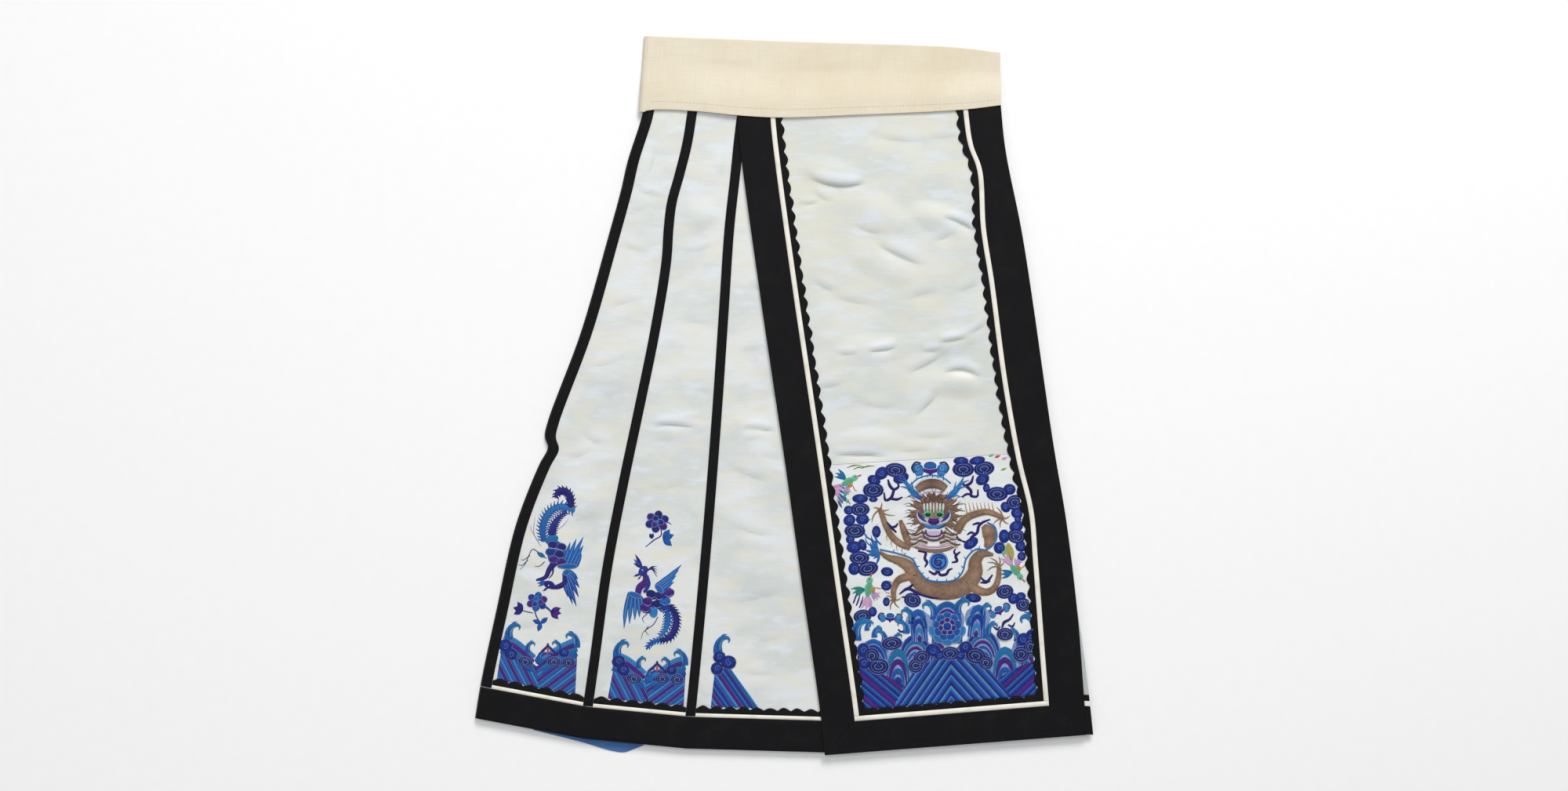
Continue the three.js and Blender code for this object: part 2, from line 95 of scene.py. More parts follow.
foldLine = line((-180, 377), (-184, 358), (-201, 305), (-210, 266), (-227, 204), (-262, 82), (-305, -34),
                (-309, -53), (-305, -68), (-317, -92), (-347, -170), (-372, -280), (-392, -374),
                (-399.6, -420))
secondSeam = line((-118, 377), (-126, 327), (-136, 287), (-146, 250), (-150, 217), (-153, 174), (-168, 82),
                  (-190, -25), (-209, -115), (-230, -225), (-246, -341), (-261, -446))
thirdSeam = line((-54, 372), (-59, 330), (-63, 290), (-71, 217), (-78, 113), (-88, -34), (-101, -198),
                 (-121, -410), (-127, -459))
faceLeft = line((-61, 371.5), (-60, 350), (-53.5, 293), (-31.5, 134), (1.5, -89), (23, -243), (48, -419),
                (53, -467.5))
faceRight = line((281, 384), (287.5, 321), (310.5, 204), (349.5, -60), (367.5, -168), (382.5, -295),
                 (388.5, -374), (393.5, -441))
borderRight = line((238, 381), (245.5, 327), (257.5, 293), (262.5, 217), (273, 149), (290, 21), (308.5, -83),
                   (324.5, -151), (330, -214), (340, -347), (348, -444))
lastSeam = faceLeft.shifted(faceRight, 32 * mm)
waistbandTop = line((-180, 467.5), (20, 460), (220, 453), (281, 446))
waistbandFoot = line((-187, 368.5), (-167, 371.5), (-116, 369.5), (-62, 364), (-5, 361), (85, 364), (230, 371),
                     (281.5, 377))
underEdge = line((379, -262), (389, -330), (396, -385), (402, -441))
underEdgeInner = line((360, -262), (366, -330), (371, -385), (376, -440))


def ovals(folds, x, y):  # the largest folds: low oval ridges
    total = np.zeros_like(x)
    for middleX, middleY, turn, length, width, height in folds:
        angle = math.radians(turn)
        dx, dy = x - middleX * mm, y - middleY * mm
        along = (dx * math.cos(angle) + dy * math.sin(angle)) / (length * mm / 2)
        side = (dy * math.cos(angle) - dx * math.sin(angle)) / (width * mm / 2)
        inside = np.clip(1 - along**2 - side**2, 0, None)
        total += height * mm * inside**2
    return total


def trough(side, width):  # steep below its ridge, and rising gently again
    dip = np.exp(-((side / np.where(side > 0, width, 3.2 * width)) ** 2))
    return 0.32 * np.exp(-(((side - 3.0 * width) / (2.4 * width)) ** 2)) - dip


def creaseTone(side, width):  # a narrow shadow, and light on the ridge
    light = 0.6 * np.exp(-(((side - 3.6 * width) / (3.0 * width)) ** 2))
    return light - np.exp(-((side / (0.9 * width)) ** 2))


def creases(rows, x, y, profile=trough):  # each is bent, and faded at its ends
    total = np.zeros_like(x)
    for middleX, middleY, turn, length, width, depth, bend in rows:
        angle = math.radians(turn)
        dx, dy = x - middleX * mm, y - middleY * mm
        along = (dx * math.cos(angle) + dy * math.sin(angle)) / (length * mm / 2)
        side = (dy * math.cos(angle) - dx * math.sin(angle)) / mm - bend * along**2
        fade = np.clip(1 - along**2, 0, None) ** 1.5
        total += depth * mm * profile(side, width) * fade
    return total


def ripple(x, y, size, height):  # the cloth never lies quite flat
    a = np.sin(x / size * 1.9 + 1.3 * np.sin(y / size * 0.8 + 0.6))
    b = np.sin(y / size * 2.3 + 1.7 * np.sin(x / size * 1.1 + 2.0))
    c = np.sin((x + y) / size * 3.1 + 0.4) * np.sin((x - 1.4 * y) / size * 2.2 + 1.1)
    return height * (0.5 * a + 0.6 * b + 0.35 * c)


faceFolds = [  # middle x, y, turn, length, width, height
    (64, 286, -16, 100, 52, 3.4), (128, 236, -30, 100, 54, 2.6), (200, 230, -20, 84, 48, 3.0),
    (124, 172, -26, 110, 50, 2.4), (112, 60, 7, 124, 46, 2.8), (214, 72, 12, 96, 44, 2.8),
    (226, 16, -4, 90, 46, 3.2), (112, -58, -2, 96, 40, 2.2),
]
faceCreases = [  # middle x, y, turn, length, width, depth, bend
    (64, 273, -9, 76, 2.6, 2.6, 8), (92, 274, 10, 34, 2.0, 1.2, 1), (231, 224, -26, 60, 2.2, 2.5, -4),
    (206, 204, 18, 34, 2.2, 0.8, 3), (32, 249, 5, 34, 1.8, 1.0, 1), (48, 258, -30, 40, 3.0, 0.9, 3),
    (150, 182, -25, 84, 3.6, 1.6, 3), (110, 214, -18, 60, 3.4, 1.0, 4), (128, 59, 8, 44, 2.0, 2.3, 2),
    (82, 54, 0, 36, 2.0, 0.9, 1), (192, 58, 6, 30, 1.8, 1.6, 1), (220, 72, 9, 46, 2.0, 1.8, 2),
    (251, 86, 32, 36, 2.0, 1.1, 3), (233, 33, -8, 60, 2.4, 2.5, -9), (184, 40, 27, 70, 3.0, 1.2, 3),
    (186, -12, 44, 56, 3.0, 1.1, 2), (98, -77, -1, 78, 2.0, 2.1, -1), (168, -72, 3, 60, 2.6, 0.8, 1),
    (190, -54, 2, 80, 3.2, 0.7, 2), (150, 332, -6, 96, 3.2, 0.8, 3), (210, 336, 8, 60, 3.0, 0.6, -2),
    (180, 132, 14, 64, 3.6, 0.7, -3), (90, 122, -12, 76, 3.4, 0.8, 3), (54, 140, -22, 46, 3.2, 0.9, 3),
    (60, 12, 10, 50, 2.8, 0.8, 2), (240, 140, 24, 50, 3.0, 0.7, 2), (120, -14, -8, 70, 3.2, 0.7, 3),
]
blockCreases = [(150, -140, -4, 90, 3.4, 0.4, 2), (250, -230, 8, 80, 3.4, 0.4, -2),
                (190, -330, -6, 90, 3.6, 0.4, 2)]
goreFolds = [
    (-108, 236, 10, 58, 56, 2.0), (-229, 24, 14, 74, 60, 2.0), (-141, -36, 2, 80, 56, 2.6),
    (-45, -44, -5, 66, 56, 2.2), (-252, -140, -10, 66, 60, 1.8), (-40, -232, -18, 84, 70, 2.4),
]
goreCreases = [
    (-142, -38, -2, 68, 2.2, 2.16, -2), (-122, -30, 4, 40, 2.0, 0.62, 1), (-34, -43, -4, 54, 2.0, 1.8, -2),
    (-42, -56, 4, 44, 2.2, 0.62, 2), (-20, -80, -10, 46, 2.6, 0.62, 2), (-62, 331, 84, 44, 2.4, 0.87, -3),
    (-78, 300, 80, 52, 2.6, 0.68, 2), (-110, 190, 12, 50, 2.8, 0.62, 2), (-174, 262, -12, 38, 2.2, 0.87, 2),
    (-194, 190, -14, 40, 2.4, 0.68, 2), (-210, 120, 18, 54, 3.0, 0.62, -3), (-236, 40, 8, 56, 2.6, 0.74, 3),
    (-250, -58, -30, 40, 2.4, 0.74, 3), (-266, -78, 22, 44, 2.4, 0.68, 3), (-262, -160, 12, 60, 3.0, 0.56, -3),
    (-150, -120, 14, 60, 3.0, 0.5, 3), (-112, -160, -30, 50, 3.0, 0.56, 3), (-44, -104, -20, 74, 3.2, 0.87, 3),
    (-40, -178, -14, 80, 3.2, 0.81, 4), (-30, -262, 12, 84, 3.4, 0.68, -3), (-37, -362, -4, 52, 2.0, 0.87, 2),
    (-20, -318, 8, 50, 2.6, 0.5, 2), (-227, -316, -30, 28, 2.0, 0.68, 1), (-172, 300, 74, 46, 2.6, 0.68, 2),
    (-190, 240, 20, 44, 2.6, 0.5, 2), (-40, 60, 8, 54, 2.8, 0.56, 2), (-34, 140, -10, 34, 2.4, 0.56, 2),
    (-118, 96, -8, 60, 3.0, 0.56, -2), (-96, 5, 10, 36, 2.2, 0.62, 1), (-330, -300, 16, 60, 3.0, 0.5, 3),
    (-318, -226, -14, 50, 2.8, 0.43, 2),
]


# Where borders, seams and hem hold the cloth, and over how far it comes free of them
held = {"faceLeft": 50 * mm, "faceRight": 8 * mm, "faceEase": 16 * mm, "seam": 8 * mm, "seamEase": 14 * mm,
        "hemAt": -392 * mm, "hemEase": 40 * mm}
# Size and height of the slow waves in the cloth
ripples = {"face": (95 * mm, 0.45 * mm), "gore": (90 * mm, 0.4 * mm), "band": (60 * mm, 0.28 * mm)}


def smooth(t):
    t = np.clip(t, 0, 1)
    return t * t * (3 - 2 * t)


def faceLoose(x, y):  # 0 beside the borders, 1 where the panel's cloth is free
    left = x - faceLeft.across(y) - held["faceLeft"]
    right = borderRight.across(y) - held["faceRight"] - x
    return smooth(np.minimum(left, right) / held["faceEase"])


def faceSlack(x, y, profile=trough):
    return (creases(faceCreases, x, y, profile) + creases(blockCreases, x, y, profile)) * faceLoose(x, y)


def faceHeight(x, y):  # the face panel's underside
    return ovals(faceFolds, x, y) + faceSlack(x, y) + ripple(x, y, *ripples["face"]) * faceLoose(x, y)


def goreLoose(x, y):  # the same for the gores, beside their seams and over the hem
    rails = (foldLine, secondSeam, thirdSeam, lastSeam)
    nearest = np.min([np.abs(x - rail.across(y)) for rail in rails], axis=0)
    aboveHem = np.clip((y - held["hemAt"]) / held["hemEase"], 0, 1)
    return smooth((nearest - held["seam"]) / held["seamEase"]) * aboveHem


def goreSlack(x, y, profile=trough):
    return creases(goreCreases, x, y, profile) * goreLoose(x, y)


def goreHeight(x, y):  # the gores' underside
    return ovals(goreFolds, x, y) + goreSlack(x, y) + ripple(x + 0.2, y, *ripples["gore"]) * goreLoose(x, y)


def linear(hexColour):  # a colour as the shaders take it
    parts = [int(hexColour[k:k + 2], 16) / 255 for k in (0, 2, 4)]
    return [c / 12.92 if c < 0.04045 else ((c + 0.055) / 1.055) ** 2.4 for c in parts]


class Value:  # a shader socket that takes Python's arithmetic
    def __init__(self, shade, socket):
        self.shade, self.socket = shade, socket

    def math(self, operation, first, second):
        return self.shade.node("ShaderNodeMath", {"operation": operation}, {0: first, 1: second})

    def __add__(self, other):
        return self.math("ADD", self, other)

    def __sub__(self, other):
        return self.math("SUBTRACT", self, other)

    def __rsub__(self, other):
        return self.math("SUBTRACT", other, self)

    def __mul__(self, other):
        return self.math("MULTIPLY", self, other)

    __radd__ = __add__
    __rmul__ = __mul__


class Shade:  # one material, with its nodes made through node()
    def __init__(self, name, **constants):
        self.material = bpy.data.materials.new(name)
        self.material.use_nodes = True
        self.tree = self.material.node_tree
        self.surface = self.tree.nodes["Principled BSDF"]
        for label, value in constants.items():
            self.surface.inputs[label.replace("_", " ")].default_value = value

    def node(self, kind, settings=None, values=None, output=0):
        made = self.tree.nodes.new(kind)
        for key, value in (settings or {}).items():
            setattr(made, key, value)
        for key, value in (values or {}).items():
            if isinstance(value, Value):
                self.tree.links.new(value.socket, made.inputs[key])
            else:
                made.inputs[key].default_value = value
        return Value(self, made.outputs[output])

    def cloth(self):  # the piece's own UV map, in metres along the cloth
        return self.node("ShaderNodeUVMap", {"uv_map": "UVMap"})

    def place(self):
        return self.node("ShaderNodeTexCoord", output=3)

    def noise(self, where, scale, detail=2, roughness=0.5):
        values = {"Vector": where, "Scale": scale, "Detail": detail, "Roughness": roughness}
        return self.node("ShaderNodeTexNoise", None, values)

    def grain(self, where, across, down, detail=2, roughness=0.5, turn=0):  # noise drawn out along the cloth
        settings = {"Scale": (across, down, across), "Rotation": (0, 0, math.radians(turn))}
        stretched = self.node("ShaderNodeMapping", None, {"Vector": where, **settings})
        return self.noise(stretched, 1.0, detail, roughness)

    def threads(self, where, perMetre, direction="X", wander=0.0):
        values = {"Vector": where, "Scale": perMetre / 10 * math.pi, "Distortion": wander, "Detail": 1}
        settings = {"wave_type": "BANDS", "bands_direction": direction, "wave_profile": "SIN"}
        return self.node("ShaderNodeTexWave", settings, values, output=1)

    def between(self, factor, low, high):  # 0 below low and 1 above high
        values = {"Value": factor, 1: low, 2: high}
        return self.node("ShaderNodeMapRange", {"interpolation_type": "SMOOTHSTEP"}, values)

    def mix(self, factor, first, second, blend="MIX"):
        def colour(value):
            return value if isinstance(value, Value) else (*value, 1)
        settings = {"data_type": "RGBA", "blend_type": blend}
        return self.node("ShaderNodeMix", settings, {0: factor, 6: colour(first), 7: colour(second)}, output=2)

    def paint(self, label, value):
        self.tree.links.new(value.socket, self.surface.inputs[label])

    def bump(self, height, distance, strength=1.0):
        values = {"Height": height, "Distance": distance, "Strength": strength}
        self.paint("Normal", self.node("ShaderNodeBump", None, values))


# Its tones are pale, deep, sheen and blush, and the cloth yellows from one height to another; the sheen tone
# is painted highlight, and the crease attribute paints light on ridges and shade in hollows
def satin(name, tones, yellowFrom, yellowTo):
    pale, deep, sheen, blush, ridge, paintedHollowShade = (linear(code) for code in (*tones, "dde3ef", "9fa7aa"))
    shade = Shade(name, Sheen_Weight=0.08, Sheen_Roughness=0.3, Specular_IOR_Level=0.6)
    cloth, place = shade.cloth(), shade.place()
    drift = shade.grain(place, 7, 15, 4, 0.62, turn=20)  # broad clouds in the silk
    streak = shade.grain(place, 20, 58, 4, 0.62, turn=16)
    slub = shade.grain(cloth, 18, 560, 3, 0.65)  # thicker weft threads
    fine = shade.grain(cloth, 90, 2400, 2)
    warp = shade.grain(cloth, 1500, 30, 2)
    crease = shade.node("ShaderNodeAttribute", {"attribute_name": "crease"}, output=2)
    colour = shade.mix(shade.between(drift, 0.4, 0.6), deep, pale)
    height = shade.node("ShaderNodeSeparateXYZ", None, {0: place}, output=1)
    yellowed = shade.between(height, yellowFrom, yellowTo) * shade.between(shade.noise(place, 6, 4), 0.4, 0.62)
    colour = shade.mix(yellowed * 0.6, colour, blush)
    # painted highlight: bluish sheen patches along the streaks
    colour = shade.mix(shade.between(streak, 0.52, 0.68) * 0.55, colour, sheen)
    colour = shade.mix(shade.between(streak, 0.5, 0.36) * 0.5, colour, blush)
    colour = shade.mix(shade.between(crease, 0.52, 0.85) * 0.5, colour, ridge)  # ridges catch the light
    # painted shade: the creases' hollows are darkened from the crease attribute
    colour = shade.mix(shade.between(0.5 - crease, 0.04, 0.36) * 0.6, colour, paintedHollowShade)
    colour = shade.mix(shade.between(slub, 0.45, 0.8) * 0.2, colour, [c * 0.82 for c in deep])
    shade.paint("Base Color", colour)
    shade.paint("Roughness", 0.3 + drift * 0.16 + slub * 0.12)
    shade.bump(slub * 0.7 + fine * 0.35 + warp * 0.25 + streak * 0.6, 0.00016, 0.8)
    return shade.material


def blackSatin():
    shade = Shade("blackSatin", Sheen_Weight=0.01, Specular_IOR_Level=0.12)
    cloth = shade.cloth()
    rep = shade.threads(cloth, 900, "X", 0.4)  # fine ribs along the band
    slub = shade.grain(cloth, 1100, 60, 3)
    wear = shade.noise(cloth, 30, 5, 0.65)
    colour = shade.mix(shade.between(wear, 0.45, 0.8), linear("0f0e11"), linear("1c191b"))
    shade.paint("Base Color", shade.mix(slub * 0.4, colour, linear("09080a")))
    shade.paint("Roughness", 0.46 + wear * 0.18)
    shade.bump(rep * 0.6 + slub * 0.8, 0.0002, 0.8)
    return shade.material


def pipingSatin():
    shade = Shade("pipingSatin", Sheen_Weight=0.15, Specular_IOR_Level=0.5)
    cloth = shade.cloth()
    grain = shade.grain(cloth, 900, 240, 3)
    soil = shade.noise(cloth, 45, 3)
    shade.paint("Base Color", shade.mix(shade.between(soil, 0.4, 0.8), linear("ece9df"), linear("d9d3c4")))
    shade.paint("Roughness", 0.45 + grain * 0.15)
    shade.bump(grain, 0.00012, 0.7)
    return shade.material


def waistbandCotton():
    shade = Shade("waistbandCotton", Sheen_Weight=0.06, Sheen_Roughness=0.6, Specular_IOR_Level=0.2)
    cloth = shade.cloth()
    warp = shade.threads(cloth, 1500, "X", 0.8)
    weft = shade.threads(cloth, 1500, "Y", 0.8)
    weftSlub = shade.grain(cloth, 26, 520, 3, 0.6)
    warpSlub = shade.grain(cloth, 520, 26, 3, 0.6)
    tone = shade.noise(cloth, 9, 4, 0.6)
    colour = shade.mix(shade.between(tone, 0.35, 0.7), linear("e9e0cb"), linear("e3d7be"))
    uneven = shade.between(weftSlub, 0.45, 0.8) * 0.5 + shade.between(warpSlub, 0.45, 0.8) * 0.5
    shade.paint("Base Color", shade.mix(uneven * 0.4, colour, linear("c9b896")))
    shade.paint("Roughness", 0.78 + weftSlub * 0.15)
    shade.bump(warp * weft * 0.6 + weftSlub * 0.6 + warpSlub * 0.6, 0.00025, 0.8)
    return shade.material


def blueLining():
    shade = Shade("blueLining", Sheen_Weight=0.2, Specular_IOR_Level=0.4)
    cloth = shade.cloth()
    grain = shade.grain(cloth, 700, 200, 3)
    tone = shade.noise(cloth, 24, 3)
    shade.paint("Base Color", shade.mix(tone, linear("3d74b0"), linear("2f5f99")))
    shade.paint("Roughness", 0.5 + grain * 0.2)
    shade.bump(grain, 0.0002, 0.7)
    return shade.material


def silkThread():  # embroidery in floss, stitched across each shape
    shade = Shade("silkThread", Specular_IOR_Level=0.2)
    cloth = shade.cloth()
    stitches = shade.threads(cloth, 1700, "Y", 1.2)
    strand = shade.grain(cloth, 160, 1400, 3, 0.6)
    colour = shade.node("ShaderNodeAttribute", {"attribute_name": "thread"})
    # painted sheen: the strands swing between a shaded and a lit copy of the thread colour
    deep = shade.mix(1.0, colour, (0.6, 0.62, 0.68), "MULTIPLY")
    lit = shade.mix(1.0, colour, (0.012, 0.02, 0.035), "ADD")
    colour = shade.mix(shade.between(strand, 0.35, 0.8), deep, lit)
    shade.paint("Base Color", colour)
    shade.paint("Roughness", 0.34 + strand * 0.22)
    shade.bump(stitches * 0.4 + strand, 0.00014, 0.7)
    return shade.material


def couchedThread():  # wrapped thread laid in rows and held by small stitches
    shade = Shade("couchedThread", Sheen_Weight=0.05, Specular_IOR_Level=0.45)
    cloth = shade.cloth()
    rows = shade.threads(cloth, 820, "X", 1.5)
    ties = shade.grain(cloth, 900, 420, 2)
    patch = shade.noise(cloth, 190, 3, 0.6)
    worn = shade.noise(cloth, 55, 3, 0.6)
    colour = shade.node("ShaderNodeAttribute", {"attribute_name": "thread"})
    # painted light and shade: a shaded and a lit copy of the gold, mixed by the rows, their ties and small
    # glints
    shadedGold = shade.mix(1.0, colour, (0.62, 0.58, 0.56), "MULTIPLY")
    light = shade.mix(1.0, colour, (0.1, 0.07, 0.05), "ADD")
    colour = shade.mix(shade.between(rows * 0.3 + ties * 0.3 + patch * 0.5, 0.35, 0.75), shadedGold, light)
    colour = shade.mix(shade.between(worn, 0.5, 0.7) * 0.45, colour, linear("8a7468"))
    shade.paint("Base Color", colour)
    shade.paint("Metallic", shade.between(worn, 0.3, 0.6) * 0.3)
    shade.paint("Roughness", 0.42 + ties * 0.25)
    shade.bump(rows + ties * 0.6, 0.0003, 0.8)
    return shade.material


materials = {
    "gore": satin("goreSatin", ("dee0dd", "cfd4d2", "dfe6ef", "dedac8"), 0.15, 0.42),
    "face": satin("faceSatin", ("dadcd7", "cdd2ce", "dbe2ec", "dbd8c5"), 0.0, 0.3),
    "block": satin("blockSatin", ("e2e5e6", "d9dcdb", "e9eef0", "d9dcdb"), 0.9, 1.0),  # too high up to yellow
    "black": blackSatin(), "piping": pipingSatin(), "cotton": waistbandCotton(), "lining": blueLining(),
    "silk": silkThread(), "couched": couchedThread(),
}
print("materials made")


def places(count, first, last):  # (share, offset) spaced evenly from one to another
    return [tuple(a + (b - a) * k / count for a, b in zip(first, last)) for k in range(count + 1)]


def foldPlaces(count=9):  # columns round the turn of the fold, each with its angle
    return [(0, fold["reach"] * (1 - math.cos(math.radians(a))), a) for a in np.linspace(0, 90, count)]


def spots(left, right, rows, columns, level, height=None):  # points in rows and columns between two rails
    rows = np.array(rows, float)
    columns = np.array([(*c, 90)[:3] for c in columns], float)
    a, b = left.at(rows[:, 0], rows[:, 1]), right.at(rows[:, 0], rows[:, 1])
    width = np.linalg.norm(b - a, axis=1)
    way = (b - a) / width[:, None]
    inward = columns[:, 0] * width[:, None] + columns[:, 1]
    xy = a[:, None] + way[:, None] * inward[..., None]
    drop = fold["drop"] * (1 - np.sin(np.radians(columns[:, 2])))
    z = level - drop + (height(xy[..., 0], xy[..., 1]) if height else 0)
    return np.dstack([xy, np.broadcast_to(z, xy.shape[:2])])


def blend(first, last, steps):  # rows of points from one line to another
    return first * (1 - steps) + last * steps


def crown(grid, height, power=2):  # raises the middle of a strip between its two long edges
    t = np.linspace(-1, 1, grid.shape[1])
    grid[..., 2] += height * (1 - np.abs(t) ** power)
    return grid


def outward(grid, distance):  # moves a turned strip out along its normals
    normal = np.cross(np.gradient(grid, axis=0), np.gradient(grid, axis=1))
    normal /= np.linalg.norm(normal, axis=2)[..., None]
    return grid + normal * distance


def clothUv(grid):  # metres across from the middle column, and down along it
    across = np.linalg.norm(np.diff(grid, axis=1), axis=2)
    u = np.concatenate([np.zeros((len(grid), 1)), np.cumsum(across, axis=1)], axis=1)
    middle = grid.shape[1] // 2
    down = np.linalg.norm(np.diff(grid[:, middle], axis=0), axis=1)
    v = np.concatenate([[0], np.cumsum(down)])
    return np.dstack([u - u[:, middle:middle + 1], np.broadcast_to(-v[:, None], u.shape)])


def flatCut(grid):  # the cut's width and length, and its area
    down, across = grid[1:, :-1] - grid[:-1, :-1], grid[:-1, 1:] - grid[:-1, :-1]
    area = float(np.linalg.norm(np.cross(down, across), axis=2).sum())
    width = round(float(np.linalg.norm(np.diff(grid, axis=1), axis=2).sum(axis=1).max()), 3)
    length = round(float(np.linalg.norm(np.diff(grid, axis=0), axis=2).sum(axis=0).max()), 3)
    return (width, length), min(area, 0.999 * width * length)


finishing = {"segments": 2, "bevelFrom": math.radians(50), "smoothTo": math.radians(45), "creaseRange": 3 * mm}
slotOf = {"gore": "gore_satin", "face": "face_satin", "block": "block_satin", "black": "black_satin",
          "piping": "cream_piping", "cotton": "waistband_cotton", "lining": "blue_lining"}
cuts = {}  # each cloth piece with its flat width and length and the area of its cut


def cloth(name, grid, thickness, material, nodes=(), edge=0.0, slack=None, slot=None):
    downCount, acrossCount = grid.shape[0] - 1, grid.shape[1] - 1
    bpy.ops.object.select_all(action="DESELECT")
    bpy.ops.mesh.primitive_grid_add(x_subdivisions=acrossCount, y_subdivisions=downCount, size=1)
    piece = bpy.context.object
    piece.name = piece.data.name = name
    mesh = piece.data
    flat = np.empty(len(mesh.vertices) * 3)
    mesh.vertices.foreach_get("co", flat)
    flat = flat.reshape(-1, 3)
    column = np.rint((flat[:, 0] + 0.5) * acrossCount).astype(int)
    row = np.rint((0.5 - flat[:, 1]) * downCount).astype(int)
    mesh.vertices.foreach_set("co", grid[row, column].ravel())
    corner = np.empty(len(mesh.loops), int)
    mesh.loops.foreach_get("vertex_index", corner)
    uv = clothUv(grid)[row, column][corner]
    mesh.uv_layers[0].data.foreach_set("uv", uv.ravel())
    mesh.uv_layers[0].name = "UVMap"
    if slack:  # where a crease sinks or rises, for the satin's light and shade: 0.5 is flat
        tone = 0.5 + slack(grid[..., 0], grid[..., 1], creaseTone) / finishing["creaseRange"]
        tone = np.clip(tone, 0, 1)[row, column]
        mesh.attributes.new("crease", "FLOAT", "POINT").data.foreach_set("value", tone)
    mesh.update()
    wall = piece.modifiers.new("wall", "SOLIDIFY")
    wall.thickness, wall.offset = thickness, 1
    bpy.ops.object.modifier_apply(modifier="wall")
    if edge:
        rounding = piece.modifiers.new("edge", "BEVEL")
        rounding.width, rounding.segments, rounding.limit_method = edge, finishing["segments"], "ANGLE"
        rounding.angle_limit = finishing["bevelFrom"]
        bpy.ops.object.modifier_apply(modifier="edge")
    bpy.ops.object.shade_smooth_by_angle(angle=finishing["smoothTo"])
    dress(piece, material, slot or slotOf[material], nodes)
    cuts[name] = (piece, *flatCut(grid))


def dress(piece, material, slot, nodes=()):
    piece.data.materials.clear()
    piece.data.materials.append(materials[material])
    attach(piece, body)
    if nodes:
        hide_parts(*nodes)


print("helpers made")

goreSizes = {"band": 12.5 * mm, "hem": 41.5 * mm, "piping": 4.6 * mm, "scallop": 6 * mm, "rise": 3.8 * mm}
faceSizes = {"border": 43 * mm, "hem": 41 * mm, "piping": 6 * mm, "scallop": 6.5 * mm, "rise": 3.8 * mm}
pitch = 19 * mm  # of the scallops
gap = levels["gap"]
panels = [(foldLine, secondSeam), (secondSeam, thirdSeam), (thirdSeam, lastSeam)]


def makeGores():
    settings = {"down": 270, "across": 36, "firstAcross": 34, "pastFold": fold["reach"] + 2 * mm,
                "short": 0.6 * mm}
    rows = places(settings["down"], (0, 0), (1, -settings["short"]))
    turned = foldPlaces() + places(settings["firstAcross"], (0, settings["pastFold"]), (1, -gap / 2))
    others = places(settings["across"], (0, gap / 2), (1, -gap / 2))
    for index, (left, right) in enumerate(panels):
        grid = spots(left, right, rows, others if index else turned, levels["gore"], goreHeight)
        cloth(f"goreSatin{index + 1}", grid, levels["satin"], "gore", [f"gore_{index + 1}"], slack=goreSlack)
    print("gores made")


def makeGoreBands():
    settings = {"down": 200, "across": 8, "pastFold": fold["reach"] + 0.8 * mm, "overHem": 1 * mm,
                "crown": 0.25 * mm}
    rows = places(settings["down"], (0, 0), (1, -(goreSizes["hem"] + settings["overHem"])))
    turned = foldPlaces() + places(settings["across"], (0, settings["pastFold"]), (0, goreSizes["band"]))
    grid = outward(spots(foldLine, secondSeam, rows, turned, levels["gore"]),
                   levels["goreTrim"] - levels["gore"])
    cloth("goreBand1", grid, levels["trim"], "black", ["gore_band_1"], edge=0.3 * mm)
    half = goreSizes["band"] / 2
    columns = places(settings["across"], (0, -half), (0, half))
    for index in (1, 2):
        grid = crown(spots(*panels[index], rows, columns, levels["goreTrim"]), settings["crown"], 4)
        cloth(f"goreBand{index + 1}", grid, levels["trim"], "black", [f"gore_band_{index + 1}"], edge=0.3 * mm)


def makeGoreHem():
    settings = {"down": 10, "across": (26, 26, 34), "pastFold": 9 * mm, "crown": 0.22 * mm, "wave": 0.15 * mm}
    rows = places(settings["down"], (1, -goreSizes["hem"]), (1, 0))
    turned = foldPlaces() + places(settings["across"][0], (0, settings["pastFold"]), (1, 0))
    columns = [turned] + [places(count, (0, 0), (1, 0))[1:] for count in settings["across"][1:]]
    parts = [spots(*panel, rows, row, levels["gore"]) for panel, row in zip(panels, columns)]
    grid = outward(np.concatenate(parts, axis=1), levels["goreTrim"] - levels["gore"])
    t = np.linspace(-1, 1, grid.shape[0])[:, None]
    wave = np.sin(np.linspace(0, 29, grid.shape[1])) * np.sin(np.linspace(0, 11, grid.shape[1]) + 1)
    grid[..., 2] += settings["crown"] * (1 - np.abs(t) ** 6) + settings["wave"] * wave * (1 - t**2)
    cloth("goreHemBand", grid, levels["trim"], "black", ["gore_hem_band"], edge=0.3 * mm)


def scalloped(base, dip, reach, bumps):  # rounded scallops between a straight edge and a waved one
    settings = {"per": 10, "rows": 6, "roundness": 0.6, "slow": 0.12, "quick": 0.08}
    count, per = bumps * settings["per"] + 1, settings["per"]
    stations = np.linspace(0, len(base) - 1, count)

    def along(row):
        return np.stack([np.interp(stations, np.arange(len(row)), row[:, k]) for k in range(3)], axis=1)
    base, dip, reach = along(base), along(dip), along(reach)
    t = np.arange(count) / per
    uneven = 1 + settings["slow"] * np.sin(t * 2.1) + settings["quick"] * np.sin(t * 5.3)
    wave = (0.5 - 0.5 * np.cos(2 * math.pi * t)) ** settings["roundness"] * uneven
    outer = dip + (reach - dip) * wave[:, None]
    return np.transpose(blend(base, outer, np.linspace(0, 1, settings["rows"])[:, None, None]), (1, 0, 2))


